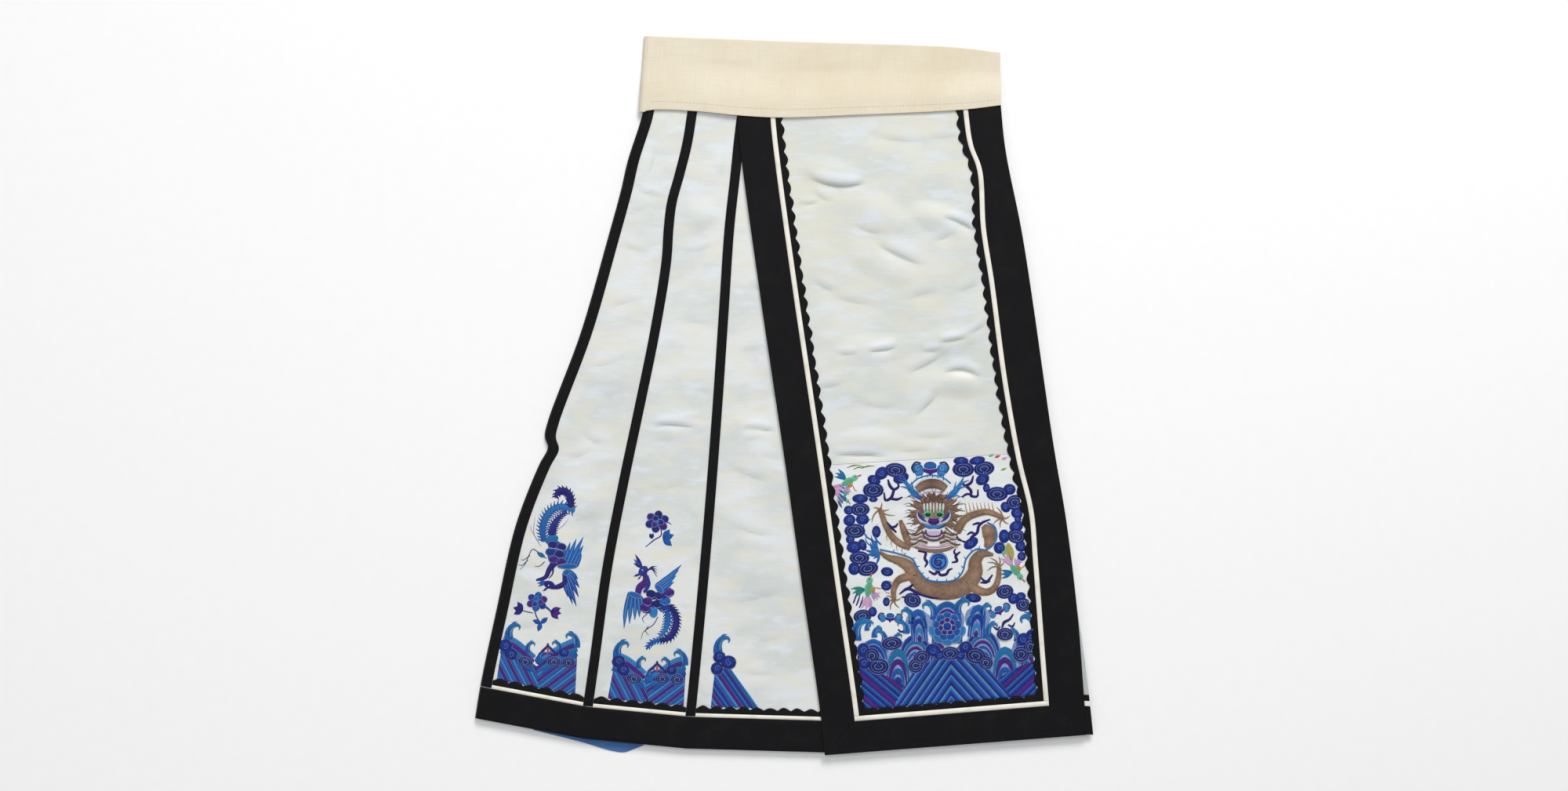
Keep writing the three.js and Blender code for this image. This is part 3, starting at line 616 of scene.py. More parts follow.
def trimPair(tag, station, bumps, sizes, nodes):
    # station(offset) gives the line of a trim at that distance from the band, with the trim's own height
    settings = {"across": 6, "pipingCrown": 0.9 * mm, "pipingWall": 0.6 * mm, "crown": 0.2 * mm,
                "wall": 0.9 * mm}
    across, piping = settings["across"], sizes["piping"]
    strip = np.stack([station(gap + piping * k / across) for k in range(across + 1)], axis=1)
    strip = crown(strip, settings["pipingCrown"])
    cloth(f"piping{tag}", strip, settings["pipingWall"], "piping", [nodes[0]], edge=0.2 * mm)
    base = 2 * gap + piping
    dip = base + sizes["scallop"]
    grid = crown(scalloped(station(base), station(dip), station(dip + sizes["rise"]), bumps),
                 settings["crown"], 4)
    cloth(f"scallops{tag}", grid, settings["wall"], "black", [nodes[1]], edge=0.3 * mm, slot="scalloped_trim")


def makeGoreTrims(across=60):
    beside = goreSizes["band"] / 2 + gap
    ends = [(goreSizes["band"] + gap, -beside), (beside, -beside), (beside, 0)]
    for index, ((left, right), (first, last)) in enumerate(zip(panels, ends)):
        columns = places(across, (0, first), (1, last))

        def station(offset):
            foot = -(goreSizes["hem"] + offset)
            return spots(left, right, [(1, foot)], columns, levels["goreTrim"])[0]
        length = np.linalg.norm(left.at(1) - right.at(1)) - first + last
        trimPair(f"Gore{index + 1}", station, round(length / pitch), goreSizes,
                 [f"gore_piping_{index + 1}", f"gore_scallop_{index + 1}"])
    print("gore trims made")


def makeFace():
    settings = {"seam": 0.5545, "short": 0.6 * mm, "across": 110, "above": 190, "below": 110}
    columns, seam = places(settings["across"], (0, 0), (1, 0)), settings["seam"]
    for name, material, node, count, first, last in (
            ("faceSatin", "face", "face_upper", settings["above"], (0, 0), (seam, -gap / 2)),
            ("faceBlock", "block", "face_block", settings["below"], (seam, gap / 2), (1, -settings["short"]))):
        grid = spots(faceLeft, faceRight, places(count, first, last), columns, levels["face"], faceHeight)
        cloth(name, grid, levels["satin"], material, [node], slack=faceSlack)
    print("face made")


def borderWave(grid, axis):  # black binding that isn't pulled quite tight, and the two seams that hold it
    settings = {"seams": (-0.78, 0.62), "wave": 0.16, "crown": 0.2, "dent": 0.28, "pucker": 0.12}
    along = np.linspace(0, 1, grid.shape[axis])
    across = np.linspace(-1, 1, grid.shape[1 - axis])
    wave = np.sin(along * 31) * np.sin(along * 13 + 1) + 0.5 * np.sin(along * 67 + 2)
    pucker = sum(np.sin(along * rate + rate) for rate in (141, 173, 229)) / 3
    soft = 1 - np.abs(across) ** 6
    shape = settings["wave"] * wave[:, None] * soft + settings["crown"] * soft
    for seam in settings["seams"]:
        near, wide = (np.exp(-(((across - seam) / reach) ** 2)) for reach in (0.06, 0.2))
        shape = shape - settings["dent"] * near + settings["pucker"] * pucker[:, None] * wide
    grid[..., 2] += mm * (shape if axis == 0 else shape.T)
    return grid


def makeFaceBorders():
    settings = {"down": 220, "across": 22, "mitre": 12, "hemAcross": 110}
    level, border, hem = levels["faceTrim"], faceSizes["border"], faceSizes["hem"]
    foot = hem + 2 * gap + faceSizes["piping"]
    rows = places(settings["down"], (0, 0), (1, -foot))
    mitre = np.linspace(0, 1, settings["mitre"] + 1)[1:, None, None]
    for side, rail, last, turned in (("Left", faceLeft, (0, border), 1), ("Right", borderRight, (1, 0), -1)):
        columns = places(settings["across"], (0, 0), last)
        edges = [(1, -hem)], [(1, 0)]
        grid, inner, outer = (spots(rail, faceRight, row, columns, level) for row in (rows, *edges))
        end = blend(*(outer[0], inner[0])[::turned], np.linspace(0, 1, len(columns))[:, None])
        grid = borderWave(np.concatenate([grid, blend(grid[-1], end, mitre)]), 0)
        cloth(f"faceBorder{side}", grid, levels["trim"], "black", [f"face_border_{side.lower()}"],
              edge=0.3 * mm)
    above, below = (places(settings["hemAcross"], (0, start), (1, 0)) for start in (border, 0))
    upper = spots(faceLeft, borderRight, [(1, -hem)], above, level)[0]
    lower = spots(faceLeft, faceRight, [(1, 0)], below, level)[0]
    grid = borderWave(blend(upper, lower, np.linspace(0, 1, settings["across"] + 1)[:, None, None]), 1)
    cloth("faceBorderHem", grid, levels["trim"], "black", ["face_border_hem"], edge=0.3 * mm)
    print("borders made")


def makeFaceTrims():
    settings = {"down": 200, "across": 60, "hemBumps": 12}
    level, border, hem = levels["faceTrim"], faceSizes["border"], faceSizes["hem"]
    beside = 2 * gap + faceSizes["piping"]
    foot = hem + 2 * gap + faceSizes["piping"]
    rows = places(settings["down"], (0, 0), (1, -foot))

    def leftStation(offset):
        return spots(faceLeft, faceRight, rows, [(0, border + offset)], level)[:, 0]

    def rightStation(offset):
        return spots(borderRight, faceLeft, rows[::-1], [(0, offset)], level)[:, 0]

    def hemStation(offset):  # the piping fills the corners, and the scallops stop short of those beside them
        far = border + gap if offset < beside else border + beside + faceSizes["scallop"]
        near = gap if offset < beside else beside + faceSizes["scallop"]
        columns = places(settings["across"], (0, far), (1, -near))
        return spots(faceLeft, borderRight, [(1, -(hem + offset))], columns, level)[0]
    bumps = round((faceLeft.length - foot) / pitch)
    for side, station, count in (("Left", leftStation, bumps), ("Right", rightStation, bumps),
                                 ("Hem", hemStation, settings["hemBumps"])):
        nodes = [f"face_piping_{side.lower()}", f"face_scallop_{side.lower()}"]
        trimPair(f"Face{side}", station, count, faceSizes, nodes)
    print("face trims made")


def makeUnderEdge():
    settings = {"hem": 37 * mm, "piping": 6.5 * mm, "scallop": 8 * mm, "short": 0.6 * mm, "down": 24,
                "across": 6}
    columns = places(settings["across"], (0, 0), (1, 0))
    pipingFoot = settings["hem"] + gap
    pipingTop = settings["hem"] + gap + settings["piping"]
    scallopFoot = settings["hem"] + 2 * gap + settings["piping"]
    strips = [  # name, from, to, material, node, slot where it isn't the material's own
        ("underSatin", (0, 0), (1, -settings["short"]), "gore", "under_gore_edge", None),
        ("underHem", (1, -settings["hem"]), (1, 0), "black", "under_hem_edge", None),
        ("underPiping", (1, -pipingTop), (1, -pipingFoot), "piping", "under_piping_edge", None),
        ("underScallops", (1, -(scallopFoot + settings["scallop"])), (1, -scallopFoot), "black",
         "under_scallop_edge", "scalloped_trim"),
    ]
    for name, first, last, material, node, slot in strips:
        own = ("gore", "satin") if material == "gore" else ("goreTrim", "trim")
        level, wall = (levels[key] for key in own)
        grid = spots(underEdgeInner, underEdge, places(settings["down"], first, last), columns, level)
        cloth(name, grid, wall, material, [node], edge=0.3 * mm, slot=slot)


bandCreases = [  # middle x, y, turn, length, width, depth, bend
    (-150, 395, 62, 40, 2.4, 0.5, 3), (-120, 400, 74, 50, 2.6, 0.4, -2), (-60, 386, 84, 36, 2.2, 0.4, 2),
    (20, 390, 80, 40, 2.4, 0.35, 2), (110, 384, 70, 34, 2.4, 0.35, -2), (180, 396, 78, 44, 2.6, 0.4, 3),
    (240, 400, 66, 50, 2.6, 0.45, -3), (60, 425, 4, 120, 3.0, 0.3, 3), (-80, 432, -3, 110, 3.0, 0.3, -3),
]


def makeWaistband():
    settings = {"across": 190, "down": 46, "turn": 9, "pastFold": 0.016, "headRise": 0.4 * mm,
                "overGores": levels["goreTrim"] + levels["trim"] + gap}
    head = levels["stack"] + gap + settings["headRise"]
    turn, across = settings["turn"], settings["across"]
    shares = np.concatenate([np.zeros(turn), np.linspace(settings["pastFold"], 1, across)])
    turns = np.radians(np.concatenate([np.linspace(0, 90, turn), np.full(across, 90)]))
    down = np.linspace(0, 1, settings["down"] + 1)[:, None]
    top, foot = waistbandTop.at(shares), waistbandFoot.at(shares)
    xy = blend(top[None], foot[None], down[..., None])
    xy[..., 0] += np.where(shares == 0, fold["reach"] * (1 - np.cos(turns)), 0)

    # The foot steps up from the gores to the face, and the band slopes up from its head to its foot
    overGores = settings["overGores"]
    footLevel = overGores + (levels["band"] - overGores) * smooth((shares - 0.1) / 0.14)
    z = head + (footLevel - head) * smooth((down - 0.35) / 0.47) - fold["drop"] * (1 - np.sin(turns))
    soft = smooth(shares / 0.05) * smooth((down - 0.02) / 0.1) * smooth((1 - down) / 0.12)
    wrinkles = creases(bandCreases, xy[..., 0], xy[..., 1]) + ripple(xy[..., 0], xy[..., 1], *ripples["band"])
    grid = np.dstack([xy, z + wrinkles * soft])
    cloth("waistbandFront", grid, levels["waistband"], "cotton", ["waistband_front"], edge=0.5 * mm)
    print("waistband made")
    return grid


# One cloth from the fold to the face's far edge
def wholeCloth(rows, level, tuck, height=None, across=(12, 12, 16, 36)):
    rails = [foldLine, secondSeam, thirdSeam, faceLeft, faceRight]
    parts = []
    for index, (left, right) in enumerate(zip(rails, rails[1:])):
        first = (0, tuck[0]) if index == 0 else (0, 0)
        last = (1, -tuck[1]) if index == 3 else (1, 0)
        columns = places(across[index], first, last)
        parts.append(spots(left, right, rows, columns[:-1] if index < 3 else columns, level, height))
    return np.concatenate(parts, axis=1)


def makeHiddenLayers():  # the folded-in half: satin, lining, lining, satin
    settings = {"down": 48, "sway": 0.12 * mm, "uneven": 1.2 * mm}
    layers = [  # name, level, thickness, tuck at the fold and far edge, foot, material, solid
        ("innerSatin", 4.25, 0.9, 3.0, 9, 7.0, "gore", ()),
        ("innerLining", 3.2, 0.8, 2.2, 6, 4.5, "lining", ()),
        ("backLining", 2.2, 0.8, 2.6, 8, 6.0, "lining", ()),
        ("backSatin", 1.15, 0.9, 1.2, 4, 2.5, "gore", ["hidden_layers"]),
    ]
    for name, level, thickness, leftTuck, rightTuck, foot, material, nodes in layers:
        def sway(x, y, level=level):
            return settings["sway"] * np.sin(x / (31 * mm) + level) * np.sin(y / (47 * mm) + 2 * level)
        rows = places(settings["down"], (0, 0), (1, -foot * mm))
        grid = wholeCloth(rows, level * mm, (leftTuck * mm, rightTuck * mm), sway)
        atFoot = np.linspace(0, 1, grid.shape[0])[:, None] ** 30
        grid[..., 1] += settings["uneven"] * (np.sin(np.linspace(0, 23, grid.shape[1]) + level) * atFoot)
        cloth(name, grid, thickness * mm, material, nodes, edge=0.25 * mm)


def makeBackTrims():  # the bands, borders and pipings on the folded-in half's outer side
    settings = {"level": 0.1 * mm, "wall": 0.9 * mm, "down": 90, "foot": 44 * mm, "hem": (43 * mm, 3 * mm),
                "hemDown": 8}
    rows = places(settings["down"], (0, 0), (1, -settings["foot"]))
    half = goreSizes["band"] / 2
    for name, rail, other, material, columns in (
            ("backBand1", foldLine, secondSeam, "black", places(4, (0, 3 * mm), (0, 15 * mm))),
            ("backBand2", secondSeam, thirdSeam, "black", places(4, (0, -half), (0, half))),
            ("backBand3", thirdSeam, lastSeam, "black", places(4, (0, -half), (0, half))),
            ("backBorderLeft", faceLeft, faceRight, "black", places(8, (0, 0), (0, 43 * mm))),
            ("backPipingLeft", faceLeft, faceRight, "piping", places(3, (0, 44 * mm), (0, 54 * mm))),
            ("backBorderRight", borderRight, faceRight, "black", places(8, (0, 0), (1, -5 * mm))),
            ("backPipingRight", borderRight, faceLeft, "piping", places(3, (0, 1 * mm), (0, 11 * mm)))):
        turned = name == "backPipingRight"  # laid out from its right side, so its rows run upwards
        grid = spots(rail, other, rows[::-1] if turned else rows, columns, settings["level"])
        cloth(name, grid, settings["wall"], material, edge=0.2 * mm)
    top, foot = settings["hem"]
    grid = wholeCloth(places(settings["hemDown"], (1, -top), (1, -foot)), settings["level"], (3 * mm, 5 * mm))
    cloth("backHem", grid, settings["wall"], "black", edge=0.2 * mm)
    print("hidden layers made")


def makeInnerWaistband():
    settings = {"across": 120, "down": 24, "wall": 2.0 * mm, "sway": 0.1 * mm}
    shares = np.linspace(0, 1, settings["across"] + 1)
    down = np.linspace(0, 1, settings["down"] + 1)[:, None, None]
    top, foot = waistbandTop.at(shares), waistbandFoot.at(shares)
    for name, level, tuck, nodes in (("waistbandBack", 0.1, 1.5, ["waistband_inside"]),
                                     ("waistbandLining", 2.6, 3.0, ())):
        inset = np.stack([np.linspace(1, -1, len(shares)), np.full(len(shares), -1)], axis=1) * tuck * mm
        xy = blend((top + inset)[None], (foot + inset * [1, -1])[None], down)
        x, y = xy[..., 0], xy[..., 1]
        z = level * mm + settings["sway"] * (1 + np.sin(x / (23 * mm) + level) * np.sin(y / (17 * mm)))
        cloth(name, np.dstack([xy, z]), settings["wall"], "cotton", nodes, edge=0.5 * mm)


def makeSeamStitches(grid):  # the waistband's topstitching, a little above its lower edge
    settings = {"row": -6, "start": 12, "end": 6 * mm, "length": 2.9 * mm, "step": 4.4 * mm, "width": 0.7}
    row = grid[settings["row"]]
    n = Needle(lambda x, y: np.interp(x, row[:, 0], row[:, 2]) + levels["waistband"])
    reach = np.concatenate([[0], np.cumsum(np.linalg.norm(np.diff(row[:, :2], axis=0), axis=1))])
    for at in np.arange(reach[settings["start"]], reach[-1] - settings["end"], settings["step"]):
        stop = at + settings["length"]
        ends = [[np.interp(end, reach, row[:, k]) / mm for k in (0, 1)] for end in (at, stop)]
        n.stitch("cream", settings["width"], *np.ravel(ends), height=0.3)
    n.finish("waistbandStitches", "waistband_cotton")


def makeLining():
    settings = {"across": 60, "down": 12, "wall": 0.8 * mm, "level": 0.25 * mm, "wave": 0.25 * mm}
    bottom = line((-326, -435.5), (-268, -450), (-210, -464.5), (-196, -460.5), (-183, -455.5))
    top = line((-330, -427.2), (-296, -435), (-261.5, -441.6), (-222, -446.2), (-181.5, -449.6))
    shares = np.linspace(0, 1, settings["across"] + 1)
    down = np.linspace(0, 1, settings["down"] + 1)[:, None, None]
    xy = blend(top.at(shares)[None], bottom.at(shares)[None], down)
    x, y = xy[..., 0], xy[..., 1]
    wave = settings["wave"] * np.sin(x / (9 * mm)) * np.sin(y / (7 * mm) + 1)
    grid = np.dstack([xy, settings["level"] + wave * down[..., 0]])
    cloth("liningCorner", grid, settings["wall"], "lining", ["lining_corner"], edge=0.2 * mm)


makeGores()
makeGoreBands()
makeGoreHem()
makeGoreTrims()
makeFace()
makeFaceBorders()
makeFaceTrims()
makeUnderEdge()
waistbandGrid = makeWaistband()
makeLining()
makeHiddenLayers()
makeBackTrims()
makeInnerWaistband()


def declareSheets():
    owners = {"goreSatin1": ("Gore1",), "goreSatin2": ("Gore2",), "goreSatin3": ("Gore3",),
              "faceSatin": ("FaceLeft", "FaceRight"), "faceBlock": ("FaceHem",)}
    sewn = {owner: [cuts[kind + tag][0] for tag in tags for kind in ("piping", "scallops")]
            for owner, tags in owners.items()}
    sewn["underSatin"] = [cuts["underPiping"][0], cuts["underScallops"][0]]
    sewn["backSatin"] = [cuts["backPipingLeft"][0], cuts["backPipingRight"][0]]
    trims = {piece.name for pieces in sewn.values() for piece in pieces}
    under = {"goreSatin1": "innerSatin", "goreSatin2": "innerSatin", "goreSatin3": "innerSatin",
             "faceSatin": "goreSatin3", "faceBlock": "goreSatin3"}
    for name, (piece, size, area) in cuts.items():
        if name not in trims:
            "folded" if name in ("goreSatin1", "waistbandFront") else "laid"
            [under[name]] if name in under else ()


declareSheets()

floss = {name: linear(code) for name, code in {
    "ink": "0b1150", "navy": "131c80", "royal": "0e42a0", "azure": "1670bc", "sky": "4596cc",
    "pale": "a3c6de", "mist": "8d9fcb", "ice": "d6e2e8", "teal": "1a7594", "purple": "331676",
    "plum": "5a2088", "lilac": "b49ad0", "white": "e8e9e6", "mint": "80cfa8", "green": "329c64",
    "leaf": "a3bf6a", "pink": "dcaed0", "coral": "dc6450", "amber": "d69a40", "gold": "80604a",
    "bronze": "5c4033", "sand": "a58770", "cream": "ded2bd", "black": "101012"}.items()}
rng = np.random.default_rng(11)
# In millimetres: a layer's rise, the stitches' lift and roots, the same under trims, and the least half width
silkwork = {"layer": 0.16, "over": 0.02, "root": -0.3, "sunk": -0.6, "sunkRoot": -0.8, "thinnest": 0.12}


def heading(turn):  # the way that an angle in degrees points
    return math.cos(math.radians(turn)), math.sin(math.radians(turn))


def pairs(points):
    return np.array(points, float).reshape(-1, 2)


class Needle:  # gathers the stitched shapes of one piece of embroidery, in millimetres on the laid skirt
    def __init__(self, ground, shown=None):
        self.ground, self.shown = ground, shown
        self.points, self.faces, self.uv, self.colours, self.total = [], [], [], [], 0
        self.placeAt(0, 0)

    def placeAt(self, x, y, turn=0, size=1, flip=1):
        c, s = (part * size for part in heading(turn))
        self.turned = np.array([[c * flip, -s], [s * flip, c]])
        self.origin, self.size = np.array([x, y], float), size

    def shades(self, colours, t, s):  # edge, middle and edge across; '>' goes on along the stroke
        rows = []
        for part in colours.split(">"):
            names = part.split()
            names = {1: names * 3, 2: [names[0], names[-1], names[0]], 3: names}[len(names)]
            stops = np.array([floss[name] for name in names])
            rows.append(np.stack([np.interp(s, (-1, 0, 1), stops[:, k]) for k in range(3)], axis=1))
        rows = np.array(rows)
        place = t * (len(rows) - 1)
        low = np.clip(place.astype(int), 0, max(0, len(rows) - 2))
        high = np.minimum(low + 1, len(rows) - 1)
        share = (place - low)[:, None, None]
        return (rows[low] * (1 - share) + rows[high] * share) * rng.uniform(0.88, 1.08)

    def stitch(self, colours, width, *numbers, closed=False, layer=0, height=0.5, across=4):
        spine = pairs(numbers) @ self.turned.T + self.origin
        curve = smoothLine(spine, 8, closed)
        reach = np.concatenate([[0], np.cumsum(np.linalg.norm(np.diff(curve, axis=0), axis=1))])
        oval = isinstance(width, tuple)
        widest = (width[1] if oval else np.max(width)) * self.size
        step = min(1.1 if oval else 1.7, max(0.75, 0.3 * widest))
        count = max(4 if closed else 3, int(reach[-1] / step))
        t = np.linspace(0, 1, count + 1)[:-1] if closed else np.linspace(0, 1, count + 1)
        path = np.stack([np.interp(t * reach[-1], reach, curve[:, k]) for k in (0, 1)], axis=1)
        ahead = np.roll(path, -1, 0) - np.roll(path, 1, 0) if closed else np.gradient(path, axis=0)
        ahead /= np.linalg.norm(ahead, axis=1)[:, None] + 1e-9
        side = np.stack([-ahead[:, 1], ahead[:, 0]], axis=1)
        if oval:
            half = width[1] / 2 * np.sqrt(np.clip(1 - (2 * t - 1) ** 2, 0.002, 1))
        elif isinstance(width, list):
            half = np.interp(t, np.linspace(0, 1, len(width)), width) / 2
        else:
            half = np.full(len(t), width / 2)
            if not closed:  # rounded ends
                end = np.clip(np.minimum(t, 1 - t) * reach[-1] / (widest * 0.5), 0, 1)
                half = half * np.sqrt(np.clip(1 - (1 - end) ** 2, 0.02, 1))
        half = np.maximum(half * self.size, silkwork["thinnest"])
        s = np.array([-1, -0.5, 0.5, 1]) if across == 4 else np.linspace(-1, 1, across)
        xy = path[:, None] + side[:, None] * s[None, :, None] * half[:, None, None]
        self.weave(colours, xy, s, half, t, reach[-1], closed, layer, height)

    def weave(self, colours, xy, s, half, t, length, closed=False, layer=0, height=0.5):
        domed = 0.08 + 0.92 * np.sqrt(1 - 0.99 * s**2)
        rise = np.minimum(height, 0.12 + 0.35 * half)[:, None] * domed[None]
        xy = np.concatenate([xy, (xy[:, :1] + xy[:, -1:]) / 2], axis=1)
        x, y = xy[..., 0] * mm, xy[..., 1] * mm
        z = self.ground(x, y)
        lift = rise + silkwork["layer"] * layer + silkwork["over"]
        lift = np.concatenate([lift, np.full((len(z), 1), silkwork["root"])], axis=1)
        if self.shown:  # the stitches run on under the trims
            clear = self.shown(x, y)
            under = np.append(np.full(len(s), silkwork["sunk"]), silkwork["sunkRoot"])
            lift = lift * clear + under * (1 - clear)
        z = z + lift * mm
        index = self.total + np.arange(z.size).reshape(z.shape)
        ring, nextRing = (index, np.roll(index, -1, 0)) if closed else (index[:-1], index[1:])
        quads = np.stack([ring, nextRing, np.roll(nextRing, -1, 1), np.roll(ring, -1, 1)], axis=-1)
        self.faces += quads.reshape(-1, 4).tolist()
        if not closed:
            self.faces += [index[0].tolist(), index[-1][::-1].tolist()]
        across = np.append(s, 0)
        u = half[:, None] * across[None]
        v = np.broadcast_to((t * length)[:, None], u.shape)
        self.uv.append(np.stack([u, v], axis=-1).reshape(-1, 2))
        self.points.append(np.dstack([x, y, z]).reshape(-1, 3))
        self.colours.append(self.shades(colours, t, across).reshape(-1, 3))
        self.total += z.size

    def oval(self, colours, x, y, long, short, turn=0, **more):
        dx, dy = (long * part for part in heading(turn))
        self.stitch(colours, ("oval", 2 * short), x - dx, y - dy, x, y, x + dx, y + dy, across=6, **more)

    def ring(self, colours, x, y, long, short, width, first=0, last=360, turn=0, **more):
        closed = last - first == 360
        angles = np.radians(np.linspace(first, last, 17))[:16 if closed else 17]
        c, s = heading(turn)
        upright = [(long * math.cos(k), short * math.sin(k)) for k in angles]
        points = [(x + p * c - q * s, y + p * s + q * c) for p, q in upright]
        self.stitch(colours, width, *np.ravel(points), closed=closed, **more)

    def curl(self, colours, x, y, radius, turns, width, start=0, **more):
        angles = np.linspace(0, turns * 2 * math.pi, max(8, int(abs(turns) * 14)))
        radii = radius * (1 - 0.86 * np.abs(angles) / abs(turns * 2 * math.pi))
        points = [(x + r * math.cos(k + start), y + r * math.sin(k + start)) for r, k in zip(radii, angles)]
        self.stitch(colours, width, *np.ravel(points), **more)

    def petal(self, colours, x, y, turn, length, width, bend=0.0, **more):
        dx, dy = heading(turn)
        bow = [(t, bend * 4 * t * (1 - t)) for t in (0, 0.33, 0.67, 1)]
        points = [(x + dx * length * t - dy * b, y + dy * length * t + dx * b) for t, b in bow]
        widths = [0.3 * width, 0.75 * width, width, 0.95 * width, 0.5 * width, 0.1]
        self.stitch(colours, widths, *np.ravel(points), **more)

    def finish(self, name, slot, material="silk"):
        mesh = bpy.data.meshes.new(name)
        mesh.from_pydata(np.vstack(self.points).tolist(), [], self.faces)
        corner = np.empty(len(mesh.loops), int)
        mesh.loops.foreach_get("vertex_index", corner)
        mesh.uv_layers.new(name="UVMap").data.foreach_set("uv", (np.vstack(self.uv)[corner] * mm).ravel())
        colour = np.vstack(self.colours)
        paint = mesh.color_attributes.new("thread", "FLOAT_COLOR", "POINT")
        paint.data.foreach_set("color", np.hstack([colour, np.ones((len(colour), 1))]).ravel())
        piece = bpy.data.objects.new(name, mesh)
        bpy.context.collection.objects.link(piece)
        bpy.ops.object.select_all(action="DESELECT")
        piece.select_set(True)
        bpy.context.view_layer.objects.active = piece
        bpy.ops.object.shade_smooth_by_angle(angle=math.radians(60))
        dress(piece, material, slot)
        print(name, len(self.faces), "faces")


def faceTop(x, y):
    return levels["face"] + levels["satin"] + faceHeight(x, y)


def goreTop(x, y):
    return levels["gore"] + levels["satin"] + goreHeight(x, y)


# How far the trims reach in from the panels' edges, over how far stitches sink there, and the hems' lines
trimmed = {
    "faceLeft": 56.1 * mm, "faceRight": 13.1 * mm, "faceHem": 53.6 * mm, "goreHem": 52.2 * mm, "ease": 4 * mm,
    "faceFoot": ((53, 348), (-467.5, -444)), "goreFoot": ((-399.6, -261, -127, 85), (-420, -446, -459, -465)),
}


def faceOpen(x, y):  # 1 where stitches show, 0 under the face's trims
    (x0, x1), (y0, y1) = trimmed["faceFoot"]
    foot = y0 * mm + (x - x0 * mm) * (y1 - y0) / (x1 - x0)
    left = x - faceLeft.across(y) - trimmed["faceLeft"]
    right = borderRight.across(y) - trimmed["faceRight"] - x
    return np.clip(np.minimum(np.minimum(left, right), y - foot - trimmed["faceHem"]) / trimmed["ease"], 0, 1)


def goreOpen(x, y):  # the same for the gores, whose bands lie clear of the stitches
    foot = np.interp(x / mm, *trimmed["goreFoot"]) * mm
    return np.clip((y - foot - trimmed["goreHem"]) / trimmed["ease"], 0, 1)


def cloudEye(n, x, y, long, short, turn, stem, layer=0):  # rings of thread round an eye, with a stem
    n.placeAt(x, y, turn)
    n.oval("mist", 0, 0, long * 1.16, short * 1.2, layer=layer, height=0.2)
    n.oval("navy ink", 0, 0, long * 1.1, short * 1.12, layer=layer + 1)
    n.ring("mist", 0, 0, long * 0.82, short * 0.8, 0.55, layer=layer + 3)
    n.ring("ink navy", 0, 0, long * 0.64, short * 0.6, 2.2, layer=layer + 2)
    n.ring("pale", 0, 0, long * 0.44, short * 0.4, 0.6, first=stem + 30, last=stem + 330, layer=layer + 4)
    n.oval("navy royal", 0, 0, long * 0.26, short * 0.22, layer=layer + 3)
    c, s = heading(stem)
    for side in (-1, 1):
        dx, dy = -s * 1.1 * side, c * 1.1 * side
        n.stitch("pale", 0.5, c * long * 0.42 + dx, s * short * 0.42 + dy, c * long * 0.84 + dx * 1.5,
                 s * short * 0.84 + dy * 1.5, layer=layer + 4)


def cloudPuff(n, x, y, long, short, turn, layer=0):  # a small lobe with its own coil
    n.placeAt(x, y, turn)
    n.oval("mist", 0, 0, long * 1.2, short * 1.22, layer=layer, height=0.2)
    n.oval("ink navy > navy royal > ink navy", 0, 0, long * 1.13, short * 1.15, layer=layer + 1)
    n.curl("mist", 0.04 * long, 0, min(long, short) * 0.62, 1.15, 0.55, start=2.4 + 0.1 * x, layer=layer + 3)


def faceClouds():
    n = Needle(faceTop, faceOpen)
    eyes = [  # x, y, long, short, turn, stem
        (145, -97, 12.5, 8, -4, -90), (116, -123, 12, 8.5, 0, 90), (99, -148, 11, 7.5, 0, -90),
        (92, -176, 12, 8, 0, 90), (98, -211, 11.5, 7.5, 0, -90), (109, -225, 12, 8, 14, 90),
        (233, -96, 12.5, 8.5, 0, -90), (260, -95, 12, 8, 8, -90), (277, -128, 12.5, 8, 0, -90),
        (300, -139, 10, 8.5, 10, -90), (302, -183, 10.5, 8, -12, -90), (287, -255, 10, 7.8, 10, 90),
        (167, -266, 10, 8, -18, 90), (311, -272, 8.6, 7.4, 0, 90), (102, -287, 10.5, 7.5, 10, -90),
    ]
    puffs = [  # x, y, long, short, turn
        (127, -101, 8, 6.5, 40), (152, -107, 9, 6, 20), (117, -110, 7.5, 5.5, -20), (116, -135, 5, 3, 0),
        (99, -134, 9, 5, 0), (84, -149, 5.5, 5, 0), (85, -162, 7, 6, 30), (102, -161, 7.5, 6, 0),
        (86, -187, 5, 5, 0), (91, -197, 8.5, 6.5, 10), (102, -194, 4.5, 6.5, 20), (91, -225, 6.5, 7, 0),
        (120, -177, 5, 6.5, 0), (134, -229, 7, 5, -8), (133, -247, 6, 5.5, 0), (230, -85, 8.5, 4.5, 0),
        (251, -84.5, 9, 4.5, 10), (258, -109, 8, 6, 30), (263, -120, 4, 5, 0), (293, -122, 7, 6, 0),
        (288, -145, 5.5, 6, 30), (303, -153, 7, 6, -20), (302, -170, 8, 6, 20), (286, -183, 6, 7.5, 0),
        (308, -196, 6.5, 6, 0), (280, -198, 6.5, 6.5, 0), (309, -209, 5, 5, 0), (243, -192, 9, 5.5, 35),
        (133, -268, 4, 5, 0), (246, -263, 9, 5, -8), (298, -264, 6, 6, 0), (308, -261, 5.5, 4.5, 0),
        (115, -281, 5, 5.5, 0), (304, -161, 4, 3.5, 0),
    ]
    for row in puffs:
        cloudPuff(n, *row)
    for row in eyes:
        cloudEye(n, *row)
    for row in ((190, -94, 1.0, 0), (138, -288, 0.66, -3), (279, -279, 0.66, 24)):
        bat(n, *row)
    return n


